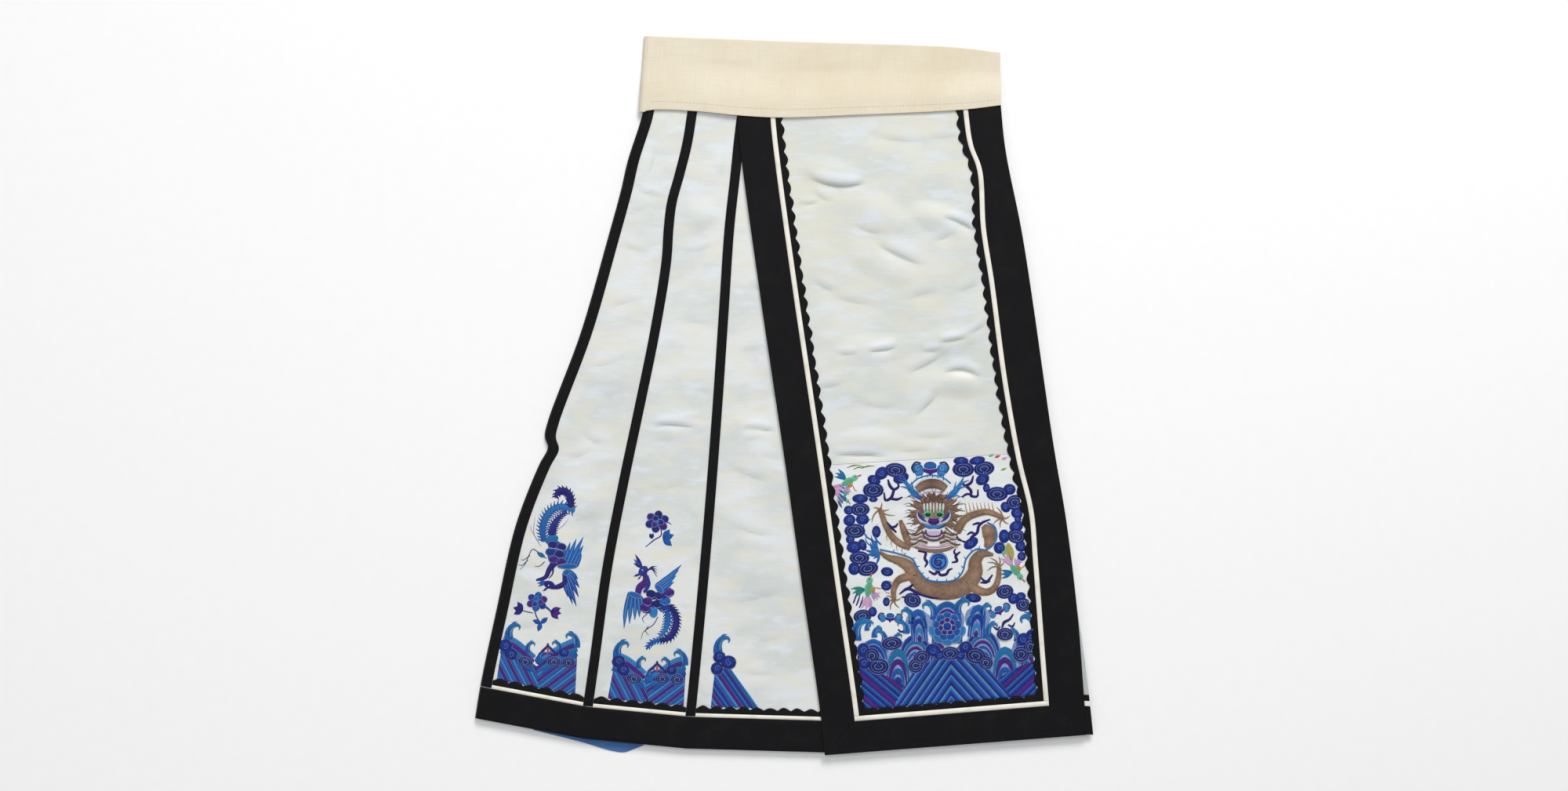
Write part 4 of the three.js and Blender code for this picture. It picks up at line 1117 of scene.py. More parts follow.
def bat(n, x, y, size, turn):
    n.placeAt(x, y, turn, size)
    for side in (-1, 1):
        n.oval("royal azure > azure sky", side * 16, -1.5, 7.5, 7, side * 30)
        n.oval("azure sky", side * 14, -6.5, 6, 4, side * -20)
        n.stitch("ink", [2, 2.4, 2, 1.2], side * 12, 6, side * 19, 7, side * 24, 0, side * 21, -7)
        n.curl("pale", side * 16, -1, 4, 1.1, 0.9, start=1.0, layer=2)
    n.oval("purple plum", 0, -3, 10, 4.4)
    n.oval("royal azure", 0, 2.5, 8.5, 5.5)
    n.stitch("pale", 0.9, -8, -0.6, 0, -1.8, 8, -0.6, layer=2)
    n.petal("purple", 0, -5, -90, 6, 5)


def flames(n):  # purple ones: widths, then points
    rows = [
        ([1, 2.6, 2.4, 2, 1], 135, -109, 138, -118, 143, -122, 149, -118, 147, -113),
        ([2.2, 2.6, 2, 1], 143, -122, 139, -133, 132, -136, 130, -126),
        ([2, 2.2, 1], 139, -134, 147, -135, 154, -132),
        ([1, 2.4, 2.4, 1], 246, -104, 243, -113, 235, -117, 230, -111),
        ([2.4, 2.6, 2.4, 1.8, 1], 236, -117, 243, -124, 243, -130, 251, -131, 252, -122),
        ([1, 2, 1.4], 231, -132, 238, -128, 243, -129), ([1, 2.6, 1.2], 133, -164, 139, -171, 146, -178),
        ([1.2, 2.2, 1], 139, -171, 145, -170, 148, -166),
        ([1, 2, 2.4, 2.6, 2.4, 2.2, 1],
         268, -161, 258, -165, 253, -170, 251, -178, 244, -184, 240, -191, 231, -189),
        ([1, 2, 1], 245, -168, 251, -166, 257, -166), ([1, 2, 1], 238, -181, 243, -178, 249, -180),
        ([1, 2.2, 1.8, 1], 231, -189, 226, -186, 224, -181),
        ([1, 2.8, 2.6, 2.4, 2, 0.8], 150, -258, 161, -251, 174, -257, 190, -262, 199, -263, 208, -263),
        ([2.4, 2.2, 0.8], 161, -251, 166, -247, 170, -243), ([1, 2.2, 1], 153, -262, 164, -262, 176, -264),
        ([1, 2.6, 1], 255, -236, 263, -242, 271, -233), ([1, 2.2, 1.2], 255, -243, 262, -243, 268, -241),
        ([1, 2.4, 2.2, 2.4, 1], 174, -202, 184, -204, 183, -212, 186, -217, 183, -223),
        ([1, 2.4, 2.2, 1], 229, -203, 223, -209, 225, -215, 218, -217),
        ([2, 1.6, 0.8], 224, -208, 221, -203, 223, -199),
        ([1, 2.2, 2.4, 2.2, 2.4, 2.2, 1],
         188, -228, 196, -232, 200, -228, 203, -233, 211, -232, 214, -227, 219, -225),
        ([1, 2.6, 2, 1], 283, -303, 286, -295, 293, -291, 298, -284),
        ([1, 1.6, 0.8], 291, -298, 297, -300, 300, -295),
        ([1, 1.6, 0.8], 272, -300, 277, -304, 281, -300), ([1, 1.6, 1], 148, -304, 153, -307, 158, -304),
    ]
    n.placeAt(0, 0)
    for widths, *points in rows:
        n.stitch("purple ink purple", [0.6 + 1.35 * w for w in widths], *points, layer=1)


def pearl(n):
    n.placeAt(201, -216)
    n.oval("azure sky", 0, 0, 12.6, 12.6)
    n.ring("royal", 0, 0, 9.2, 9.2, 3.4, layer=1)
    n.curl("navy", 0, -0.4, 7, 1.4, 2.4, start=0.6, layer=2)
    n.curl("plum purple", 0.4, 0.6, 3.8, 1.2, 1.8, start=2.4, layer=3)
    n.stitch("plum purple", [1.8, 2, 1], 1, -2, 2.5, -6, 1, -10, layer=3)
    n.ring("pale", 0, 0, 11.2, 11.2, 0.8, layer=2)


def claws(n, x, y, tips):
    n.placeAt(0, 0)
    for tipX, tipY in tips:
        bendX, bendY = (x + tipX) / 2 + (tipY - y) * 0.13, (y + tipY) / 2 - (tipX - x) * 0.13
        n.stitch("gold sand", [2.6, 2.2, 1.8, 0.5], x, y, bendX, bendY, tipX, tipY, layer=1)


def dragon(n, silks):
    scales = "bronze gold > gold sand > bronze gold > gold sand > bronze gold"
    body = [  # widths, points: trunk, shoulder, then the legs
        ([3, 8, 13, 17, 19, 21, 23, 23, 23, 21, 17, 12, 3],
         124, -203, 134, -210, 150, -215, 162, -222, 170, -235, 183, -249, 203, -254, 224, -252, 239, -244,
         248, -230, 249, -215, 257, -206, 272, -207),
        ([6, 17, 19, 14, 6], 259, -169, 267, -179, 268, -187, 263, -198),
        ([5, 6.5, 7, 8, 8, 7], 124, -147, 128, -157, 132, -169, 141, -184, 152, -193, 164, -198),
        ([4, 8, 9, 7], 151, -162, 156, -176, 161, -190, 163, -197),
        ([11, 10, 9, 8, 7, 5], 224, -177, 235, -161, 249, -154, 264, -151.5, 278, -156, 285, -160),
        ([15, 11, 9, 7, 5], 174, -233, 160, -235.5, 148, -241, 142.5, -253, 143, -267),
        ([15, 12, 9.5, 8, 6.5, 5], 236, -242, 252, -253, 264, -255.5, 273.5, -250, 278.5, -238, 279.5, -223),
    ]
    n.placeAt(0, 0)
    for widths, *points in body:
        n.stitch("cream", [w + 2.2 for w in widths], *points, height=0.15)
    for widths, *points in body:
        n.stitch(scales, widths, *points, height=0.75, across=8, layer=1)
    fin = (124, -200, 150, -206, 167, -213, 175, -228, 186, -239, 205, -242, 223, -239, 232, -229, 237, -212,
           249, -200, 264, -200, 275, -188, 274, -171, 264, -165)
    silks.stitch("azure sky", 2.2, *fin, layer=2)
    spines = smoothLine(pairs(fin), 12)[::8]
    ahead = np.gradient(spines, axis=0)
    ahead /= np.linalg.norm(ahead, axis=1)[:, None]
    for (x, y), (dx, dy) in zip(spines[1:-1], ahead[1:-1]):
        spine = (x, y, x - dy * 2, y + dx * 2, x - dy * 4.2 + dx, y + dx * 4.2 + dy)
        silks.stitch("azure", [1.8, 1.3, 0.5], *spine, layer=2)
    for x, y, tips in ((124, -148, [(114, -165), (116, -146), (127, -139), (137, -148), (144, -156)]),
                       (284, -160, [(276, -145), (294, -156), (292, -167), (281, -172), (272, -167)]),
                       (143, -266, [(133, -260), (130, -271), (138, -279), (150, -276), (152, -263)]),
                       (279.5, -222, [(264, -217), (268, -211), (279, -209), (286, -216), (264, -228)])):
        claws(n, x, y, tips)
    for x in range(238, 276, 5):  # hair along the foreleg
        root = (x, -150 - 0.16 * abs(x - 262))
        n.stitch("gold cream", [2.2, 1.6, 0.5], *root, x - 2, -144, x - 3 + 0.1 * (x % 3), -139)
    tufts = [((134, -181), (140, -189), (147, -194), (154, -198)), ((144, -244), (139, -250), (137, -257))]
    for roots, (x1, y1, x2, y2) in zip(tufts, ((-1, -4, 1, -8), (-4, 1, -7, 4))):
        for x, y in roots:
            n.stitch("gold cream", [1.8, 0.5], x, y, x + x1, y + y1, x + x2, y + y2)
    for k in range(9):  # feathered tail
        length = 17 + 5 * math.sin(k * 1.7)
        silks.petal("azure sky > royal azure", 123, -201, 96 + 20 * k, length, 3.6, bend=2.4)
    for points in ((118, -190, 106, -182, 104, -168, 114, -160), (126, -194, 119, -186, 116, -175, 122, -167),
                   (122, -198, 111, -194, 106, -187, 108, -180)):
        silks.stitch("azure", [2.4, 2, 1.6, 0.5], *points)


def mane(n, x0, y0):  # tapered locks all round but for the chin
    locks = [  # number, reach, distance of the roots, width, colours
        (21, 34, 15, 8.6, "bronze gold > gold sand"), (34, 38, 24, 1.1, "bronze"),
        (19, 27, 11, 7.4, "bronze gold > sand gold"),
    ]
    squash = 0.84
    for row, (count, reach, root, wide, colours) in enumerate(locks):
        for k in range(count):
            angle = math.radians(-48 + 276 * (k + 0.25 * row) / (count - 1))
            dx, dy = math.cos(angle), math.sin(angle)
            out = reach + 2 * math.sin(k * 2.3 + row)
            bend = 1.5 * (-1) ** k
            n.stitch(colours, [wide, wide, wide * 0.7, 0.5], x0 + dx * root, y0 + dy * root * squash,
                     x0 + dx * out * 0.75 - dy * bend, y0 + dy * out * 0.75 * squash + dx * bend,
                     x0 + dx * out, y0 + dy * out * squash, layer=row + 0.4 * (k % 2))
    for side in (-1, 1):  # whiskers past the mane
        for k in range(6):
            y = -134 - 8.5 * k
            n.stitch("ink", [0.9, 0.8, 0.4], x0 + side * (27 - k * 0.4), y, x0 + side * 34, y + 2.4,
                     x0 + side * (39 + 2 * (k % 2)), y + 0.4)


def dragonHead(n):
    n.placeAt(0, 0)
    n.oval("bronze gold", 196, -153, 24, 21, layer=0, height=0.3)
    mane(n, 196, -153)
    middle = 194.5
    n.oval("gold sand", middle, -153, 17.5, 14, 90, layer=3, height=0.7)
    n.oval("cream pink", middle, -164, 14, 9, 0, layer=4)
    plate = (172.5, -123, 181, -117, 191.5, -114.5, 202, -116, 210.5, -121.5)
    n.stitch("ice", [12, 16, 17, 16, 12], *plate, height=0.15)
    n.stitch("gold sand > bronze gold > gold sand", [9, 12, 12.6, 12, 9], *plate, across=8, layer=1)
    n.stitch("azure sky", 2.0, 163, -117, 175, -107.5, 190.5, -103.8, 206, -106.5, 217, -114.5, layer=1)
    for x in (172, 179, 186, 193, 200, 207):
        n.stitch("azure", [1.6, 0.5], x, -105.8 - 0.014 * (x - 190) ** 2, x + 0.4, -102.6, x, -100)
    n.stitch("pink", 1.8, 175, -131, 184, -126, 198, -125, 208, -129.5, layer=1)
    for side in (-1, 1):
        def out(*numbers):  # points by their distance from the head's middle line, and their height
            return [middle + side * value if k % 2 == 0 else value for k, value in enumerate(numbers)]
        antler = out(17, -134, 24, -128, 30, -122, 35, -114, 39, -106)
        n.stitch("royal azure > azure sky > azure", [4, 8, 7, 4, 1], *antler, layer=4)
        for (x1, y1), (x2, y2) in (((26, -126), (29, -112)), ((29, -123), (43, -118)),
                                   ((33, -117), (46, -110)), ((22, -130), (34, -131))):
            branch = (middle + side * x1, y1, middle + side * (x1 + x2) / 2, (y1 + y2) / 2 + 1,
                      middle + side * x2, y2)
            n.stitch("azure sky", [3, 2.2, 0.6], *branch, layer=4)
        n.curl("bronze gold", *out(9, -135), 6, side * 1.1, 2.6, start=math.pi / 2, layer=6)
        n.stitch("white", [1, 6, 7, 1], *out(20.5, -149, 19, -157, 14, -163, 9, -166), layer=5)
        cheek = out(20.5, -150, 18.5, -156, 14, -161, 9.5, -164.5)
        n.stitch("purple plum > royal", [1, 4.4, 4, 0.8], *cheek, layer=7)
        n.oval("mint green", *out(8, -154.5), 6, 4.4, side * -8, layer=6)
        n.oval("black", *out(7.6, -154.8), 3.8, 2.6, 0, layer=8)
        n.oval("green", *out(7.4, -154.4), 1.2, 1.0, 0, layer=10)
        for k in (4.2, 8.4, 12.6):  # brows
            n.stitch("white > white > mint", [2.1, 2.5, 2.5, 1.2], middle + side * k, -139 - k * 0.12,
                     middle + side * k * 0.98, -146, middle + side * k * 0.95, -151, layer=6)
        n.stitch("bronze gold", [2.4, 2.2, 0.6], *out(15, -171, 22, -178, 30, -180, 35, -175), layer=4)
        for k in range(7):  # beard, waved out to the sides
            y = -177 - 2.7 * k
            shade = ("white", "bronze gold", "cream", "gold sand", "white", "bronze gold", "cream")[k]
            lock = out(5 + k * 0.6, y - 1, 14 + k, y + 1.6, 23, y - 1.6, 32 + 3 * (k % 2), y + 2.6 - 1.2 * k)
            n.stitch(shade, [3.2, 2.8, 2.4, 0.6], *lock, layer=3 + k % 2)
        n.stitch("plum", [0.9, 0.5], *out(12, -186, 22, -188, 31, -185), layer=6)
    n.stitch("bronze gold", [2, 6, 9, 6], middle, -126, middle, -133, middle, -140, layer=5)
    n.stitch("white", [1.2, 2.2, 1.2], middle, -139, middle, -146, middle, -152, layer=6)
    n.oval("purple plum", middle, -164, 7.4, 4, 0, layer=7)
    for side in (-1, 1):
        n.oval("purple plum", middle + side * 4, -162.8, 3.4, 3.1, 0, layer=8)
        n.oval("ink", middle + side * 3.4, -164.4, 1.3, 1.0, 0, layer=10)
    lip = (180, -166.5, 187.5, -170, middle, -171, 201.5, -170, 209, -166.5)
    n.stitch("azure sky", [1.6, 4.2, 4.6, 4.2, 1.6], *lip, layer=7)
    n.oval("white pink", middle, -178, 10, 5, 0, layer=6)
    n.stitch("plum purple", 2.0, 184, -174, 186, -181, middle, -183, 203, -181, 205, -174, layer=8)
    for x in (188, 192.3, 196.7, 201):
        n.petal("white", x, -174, -90, 4.6, 3.2, layer=8)
    jaw = (179, -175, 184, -185, middle, -188, 205, -185, 210, -175)
    n.stitch("bronze gold", [1.4, 2.6, 3, 2.6, 1.4], *jaw, layer=7)
    n.stitch("gold sand", [2, 4.4, 5.4, 4.4, 2], 163, -194, 180, -200, 196, -202, 211, -200, 229, -193,
             layer=2)
    n.stitch("pink", [0.8, 2, 2, 0.8], 166, -191, 182, -196, 208, -196, 223, -191, layer=3)


def bird(n, x, y, turn, size, flip, body="mint green", wing="teal azure"):  # a small one, in bright silks
    n.placeAt(x, y, turn, size, flip)
    for k in range(3):
        n.petal("pink", -5, -1 - k, 186 + 14 * k, 15, 4.4, bend=1)
        n.petal(wing, -1, 3, 118 + 20 * k, 15 - k, 3.6, bend=-1)
        n.petal("lilac pink", 1, -3, 226 + 18 * k, 11, 3.4)
    n.petal(body, -6, -2, 20, 17, 8.5, layer=2)
    n.oval("mint", 9, 4, 3.6, 3.2, 20, layer=3)
    n.petal("coral", 12, 5, 12, 5, 1.8, layer=3)
    n.oval("amber", 3, -3.4, 3, 2.2, 0, layer=3)
    n.oval("black", 9.8, 4.8, 0.9, 0.8, 0, layer=5)
    for k in (-4, 2):
        n.stitch("coral", [1.2, 0.8], k + 4, -5, k + 5, -9, k + 7, -11)


def faceBirds(n):
    bird(n, 82, -113, 8, 1.2, 1)
    bird(n, 110, -253, 60, 1.3, 1, wing="green teal")
    bird(n, 300, -226, 150, 1.2, -1)
    bird(n, 77, -133, -60, 0.7, 1, "teal azure", "mint teal")
    n.placeAt(0, 0)
    n.petal("leaf amber", 291, -192, -78, 26, 11)
    n.petal("leaf mint", 286, -193, -92, 17, 8)
    for k, points in enumerate(((90, -270, 93, -262, 95, -255), (94, -273, 97, -265, 99, -258),
                                (98, -276, 101, -268, 103, -261))):
        n.stitch("purple", [1.8, 2.2, 0.9], *points)
    for k in range(5):
        n.petal("teal azure", 70, -116 - 5 * k, -30 - 8 * k, 12, 3.4)
    for x, y, colour in ((266, -79, "mint"), (274, -80.5, "coral"), (283, -83, "pink"), (282, -97, "leaf")):
        n.petal(colour, x, y, 20, 8, 3.6)
    for x, y in ((82, -94), (90, -96), (100, -95)):  # faded grasses in the top corner
        n.stitch("leaf bronze", [0.9, 2.2, 0.5], x, y, x + 8, y + 3, x + 18, y + 3.5)


def hook(n, x, y, size, flip, layer):  # a curled crest
    n.placeAt(x, y, 0, size, flip)
    crest = (-3.5, -9, -3.5, 0, 0, 7, 6, 9.5, 10, 7, 9, 3.2)
    n.stitch("royal azure > azure teal > azure sky", [11, 10, 8, 6, 3.8, 1], *crest, layer=layer)
    n.stitch("pale", [0.6, 0.8, 0.4], -1, -5, -0.6, 2, 3, 7, layer=layer + 2)
    n.stitch("navy", [0.8, 1.2, 0.5], -4, -6, -4.2, 1, -1.4, 7, layer=layer + 2)
    n.stitch("azure", [2.4, 1.8, 0.5], 0, 8, 2, 12, 7, 13.4, layer=layer)


def arches(n, x, y, wide, high, bands, turn, steep, layer):  # nested arches, the widest first
    n.placeAt(x, y, turn)
    count = max(3, round(wide / 3.1))
    angles = np.linspace(0, math.pi, 9)
    bases = [(-wide * math.cos(a) * 0.5, high * 0.5 * max(0, math.sin(a)) ** steep) for a in angles]
    n.stitch("mist", [wide, wide, high, wide, wide], *np.ravel(bases), layer=layer - 1, across=6)
    for k in range(count):
        share = 1 - (k + 0.5) / count
        points = [(-wide * share * math.cos(a), high * share * max(0, math.sin(a)) ** steep) for a in angles]
        thin, thick = wide / count * 0.9, high / count * 0.93
        widths = [thin, thin, (thin + thick) / 2, thick, (thin + thick) / 2, thin, thin]
        n.stitch(bands[k % len(bands)], widths, *np.ravel(points), layer=layer)


def clipped(polygon, angle, distance):  # where a straight row crosses a convex field
    normal = np.array([-math.sin(angle), math.cos(angle)])
    ahead = np.array([math.cos(angle), math.sin(angle)])
    hits = []
    for a, b in zip(polygon, np.roll(polygon, -1, axis=0)):
        da, db = a @ normal - distance, b @ normal - distance
        if da * db < 0:
            hits.append(a + (b - a) * da / (da - db))
    if len(hits) < 2:
        return None
    hits.sort(key=lambda p: p @ ahead)
    return hits[0], hits[-1]


# Standing water, in slanting rows over a flat ground; one row's edge runs through a given point
def stripes(n, polygon, turn, pitch, rows, layer=1, through=(0, 0), base="mist"):
    n.placeAt(0, 0)
    polygon = np.array(polygon, float)
    angle = math.radians(turn)
    normal = np.array([-math.sin(angle), math.cos(angle)])
    reach = polygon @ normal
    zero = np.array(through, float) @ normal
    # Each strip is its top, foot, colours, height and layer
    strips = [(reach.max() - 0.05, reach.min() + 0.05, base, 0.12, layer - 1)]
    first = math.ceil((reach.max() - zero) / pitch)
    for k in range(first, first - 60, -1):
        top = min(zero + k * pitch, reach.max() - 0.05)
        foot = max(zero + (k - 0.9) * pitch, reach.min() + 0.05)
        if top - foot > 0.4:
            strips.append((top, foot, rows[k % len(rows)], 0.5, layer))
    for top, foot, colours, height, level in strips:
        across = np.linspace(-1, 1, 15 if height < 0.2 else 5)
        ends = [clipped(polygon, angle, foot + (top - foot) * (value + 1) / 2) for value in across]
        if None in ends:
            continue
        start, last = np.array([e[0] for e in ends]), np.array([e[1] for e in ends])
        length = np.linalg.norm(last - start, axis=1).max()
        t = np.linspace(0, 1, max(3, int(length / 2)))
        xy = start[None] + (last - start)[None] * t[:, None, None]
        n.weave(colours, xy, across, np.full(len(t), (top - foot) / 2), t, length, layer=level, height=height)


def faceWaves():
    n = Needle(faceTop, faceOpen)
    side = ["ink royal azure", "purple plum purple", "navy royal azure"]
    middle = ["ink royal azure", "navy royal sky"]
    bands = ["azure royal", "royal navy", "teal azure", "plum purple", "azure royal", "navy royal",
             "royal azure", "ink navy"]
    for x, y, wide, high, turn, first, layer in (
            (97, -366, 11, 40, 0, 2, 1), (116, -366, 21, 50, 0, 0, 1), (171, -360, 22, 50, 0, 1, 1),
            (258, -358, 24, 55, 0, 1, 1), (316, -360, 18, 50, 0, 0, 1), (198, -350, 14, 30, 0, 3, 3),
            (234, -350, 14, 28, 0, 1, 3), (148, -386, 16, 57, 0, 2, 3), (287, -386, 17, 60, 0, 2, 3)):
        arches(n, x, y, wide, high, bands[first:] + bands[:first], turn, 0.8, layer)
    stripes(n, [(94, -352), (104, -412), (142, -412), (156, -376), (128, -362)], -40, 6.6, side, layer=6,
            base="plum")
    stripes(n, [(336, -342), (306, -352), (280, -366), (296, -402), (337, -402)], 43, 6.6, side, layer=6,
            base="plum")
    stripes(n, [(217, -335), (170, -355), (142, -404), (217.5, -404)], 55, 7.8, middle, layer=8,
            through=(217, -337))
    stripes(n, [(217, -335), (217.5, -404), (296, -400), (295, -391), (260, -347)], -48, 9.1, middle, layer=8,
            through=(217, -337))
    peak = ["azure royal", "royal navy", "sky azure", "plum purple", "navy royal"]
    arches(n, 176.5, -320, 11, 43, peak, 4, 0.6, 4)
    arches(n, 249, -314, 11, 43, peak, -6, 0.6, 4)
    tall = ["azure royal", "plum purple", "royal navy", "purple plum", "azure royal", "navy royal"]
    arches(n, 212, -322, 20, 55, tall, 0, 0.6, 5)
    for row in ((192, -281, 1.15, -1), (229, -277, 1.15, 1), (163, -288, 1.0, -1), (260, -281, 0.9, 1),
                (98, -306, 1.4, 1), (322, -300, 1.4, -1), (128, -314, 0.8, -1), (146, -317, 0.7, 1),
                (156, -302, 0.8, -1), (268, -305, 0.9, 1), (120, -308, 0.7, 1), (300, -312, 0.8, -1),
                (110, -300, 0.6, 1), (181, -296, 0.7, -1), (243, -292, 0.7, 1)):
        hook(n, *row, layer=4)
    peony(n, 212, -300)
    return n


def peony(n, x, y):
    n.placeAt(x, y)
    n.oval("mist", 0, 0, 18, 18, layer=8)
    rings = [  # petals, distance, half width, half depth, colours, turn
        (9, 13.6, 5.8, 5.4, "azure royal", 0), (5, 20, 7, 5, "sky azure", -54),
        (7, 8.4, 3.6, 3.3, "plum purple", 0),
    ]
    for row, (count, distance, wide, deep, colours, first) in enumerate(rings):
        layer = (10, 7, 13)[row]
        for k in range(count):
            turn = (360 if row != 1 else 180) * k / count + first + (90 if row != 1 else 252)
            px, py = (distance * part for part in heading(turn))
            n.oval(colours, px, py, wide, deep, turn + 90, layer=layer + 0.6 * (k % 2))
            n.ring("pale", px, py, wide, deep, 0.45, turn=turn + 90, layer=layer + 2)
    n.oval("pale", 0, 0, 6.2, 5.8, 0, layer=14)
    n.oval("navy royal", 0, 0, 5.4, 5, 0, layer=16)


def waveClouds(n):
    for x, y, long, short, turn, stem in (
            (140, -322, 12, 7.5, 6, -90), (287, -310, 9.5, 7, 0, -90), (216, -335, 11, 7.5, 0, -90),
            (179, -340, 10, 7.5, 20, -90), (171, -351, 8.5, 8, 0, 0), (249, -338, 12, 9, -14, -90),
            (262, -347, 8.5, 7.5, -10, -90), (114, -338, 8.5, 9, -30, -90), (123, -352, 12, 9, 0, 90),
            (308, -336, 9.5, 9, 0, -90), (320, -326, 7.5, 9, 0, -90)):
        cloudEye(n, x, y, long, short, turn, stem, layer=11)
    for x, y, long, short, turn in (
            (194, -331, 9, 7, -20), (236, -327, 8, 6.5, 10), (103, -331, 7, 8, 0), (104, -348, 7, 6.5, 0),
            (311, -317, 8, 7, 20), (321, -313, 6, 7.5, 0), (202, -337, 6, 5, 0), (229, -338, 6, 5, 0)):
        cloudPuff(n, x, y, long, short, turn, layer=11)


def wing(n, roots, tips, colours, width=6):  # long feathers from a shoulder
    (x0, y0), (x1, y1) = roots
    for k, (tipX, tipY) in enumerate(tips):
        share = k / max(1, len(tips) - 1)
        x, y = x0 + (x1 - x0) * share, y0 + (y1 - y0) * share
        bend = 1.6 * (share - 0.5)
        midX, midY = (x + tipX) / 2 - (tipY - y) * 0.04 * bend, (y + tipY) / 2 + (tipX - x) * 0.04 * bend
        n.stitch(colours, [width * 0.8, width, width * 0.85, 0.6], x, y, midX, midY, tipX, tipY, layer=k % 2)
        n.stitch("pale", [0.5, 0.5, 0.3], x, y, midX, midY, (midX + tipX) / 2, (midY + tipY) / 2, layer=3)
    middle, reach = ((x0 + x1) / 2, (y0 + y1) / 2), math.hypot(x1 - x0, y1 - y0) * 0.5
    turn = math.degrees(math.atan2(y1 - y0, x1 - x0))
    n.oval("royal azure", *middle, reach + 2, 3.8, turn, layer=3)
    n.ring("pale", *middle, reach + 1, 3.2, 0.5, turn=turn, layer=5)


def plume(n, colours, widths, points, barb=4.6, every=4):  # a serrated tail feather
    widths = [w * 1.25 for w in widths]
    n.stitch(colours, widths, *points, layer=1)
    path = smoothLine(pairs(points), 24)
    steps = np.concatenate([[0], np.cumsum(np.linalg.norm(np.diff(path, axis=0), axis=1))])
    for at in np.arange(2, steps[-1] - 1, every):
        x, y = np.interp(at, steps, path[:, 0]), np.interp(at, steps, path[:, 1])
        dx, dy = np.interp(at + 1, steps, path[:, 0]) - x, np.interp(at + 1, steps, path[:, 1]) - y
        size = np.interp(at / steps[-1], np.linspace(0, 1, len(widths)), widths) / 2 + barb
        for side in (-1, 1):
            barbs = (x, y, x - side * dy * size * 0.6 + dx, y + side * dx * size * 0.6 + dy,
                     x - side * dy * size + dx * 3.4, y + side * dx * size + dy * 3.4)
            n.stitch(colours.split(">")[0], [3, 2.2, 0.5], *barbs)


def leaves(n, x, y, turns, length, colours):
    for turn in turns:
        n.petal(colours, x, y, turn, length * 1.05, length * 0.6, layer=1)


def flower(n, x, y, size, colours=("purple plum", "royal azure", "navy royal")):
    n.placeAt(x, y, 0, size)
    for k in range(9):  # six outer petals and three inner ones, in rings a little wider than tall
        turn, out = (k * 60 + 20, 6.4) if k < 6 else (k * 120 - 10, 3)
        x, y = 1.15 * out * math.cos(math.radians(turn)), out * math.sin(math.radians(turn))
        long, short = (5.2, 4.3) if k < 6 else (3.7, 3)
        n.oval(colours[k % 3], x, y, long, short, turn, layer=k % 2 if k < 6 else 3)
        n.ring("mist", x, y, long, short, 0.5, turn=turn, layer=2 if k < 6 else 5)
    n.oval("sky azure", 0, -0.6, 2.2, 1.8, 0, layer=6)
    n.placeAt(0, 0)


def swell(n, points, step):  # rows under a crest
    n.placeAt(0, 0)
    points = pairs(points)
    for k, shade in enumerate(("sky azure", "plum purple", "teal azure", "royal azure")):
        n.stitch(shade, [6.6, 6.4, 6, 5], *np.ravel(points + np.array(step) * k), layer=2 + 0.4 * (k % 2))


def waterField(n, fields, turns, swells, eyes, puffs, hooks, roof):
    shades = ["royal azure sky", "royal azure royal", "purple plum purple"]
    for field, turn in zip(fields, turns):
        stripes(n, field, turn, 4.6, shades)
    for points, step in swells:
        swell(n, points, step)
    for row in hooks:
        hook(n, *row, layer=3)
    for row in puffs:
        cloudPuff(n, *row, layer=4)
    for row in eyes:
        cloudEye(n, *row, layer=5)
    n.placeAt(*roof)
    n.oval("royal azure", -1, -13, 16, 9, 0, layer=1)
    for side in (-1, 1):
        n.stitch("purple", [1.4, 3, 3, 1.4], 11 * side, -5, 6 * side, 0, side, 5, 0, 9, layer=6)
    n.stitch("plum", 2.2, -6, -5, 0, -4, 6, -5, layer=6)
    n.stitch("coral plum", 2, 0, 3, 0, -6, layer=7)


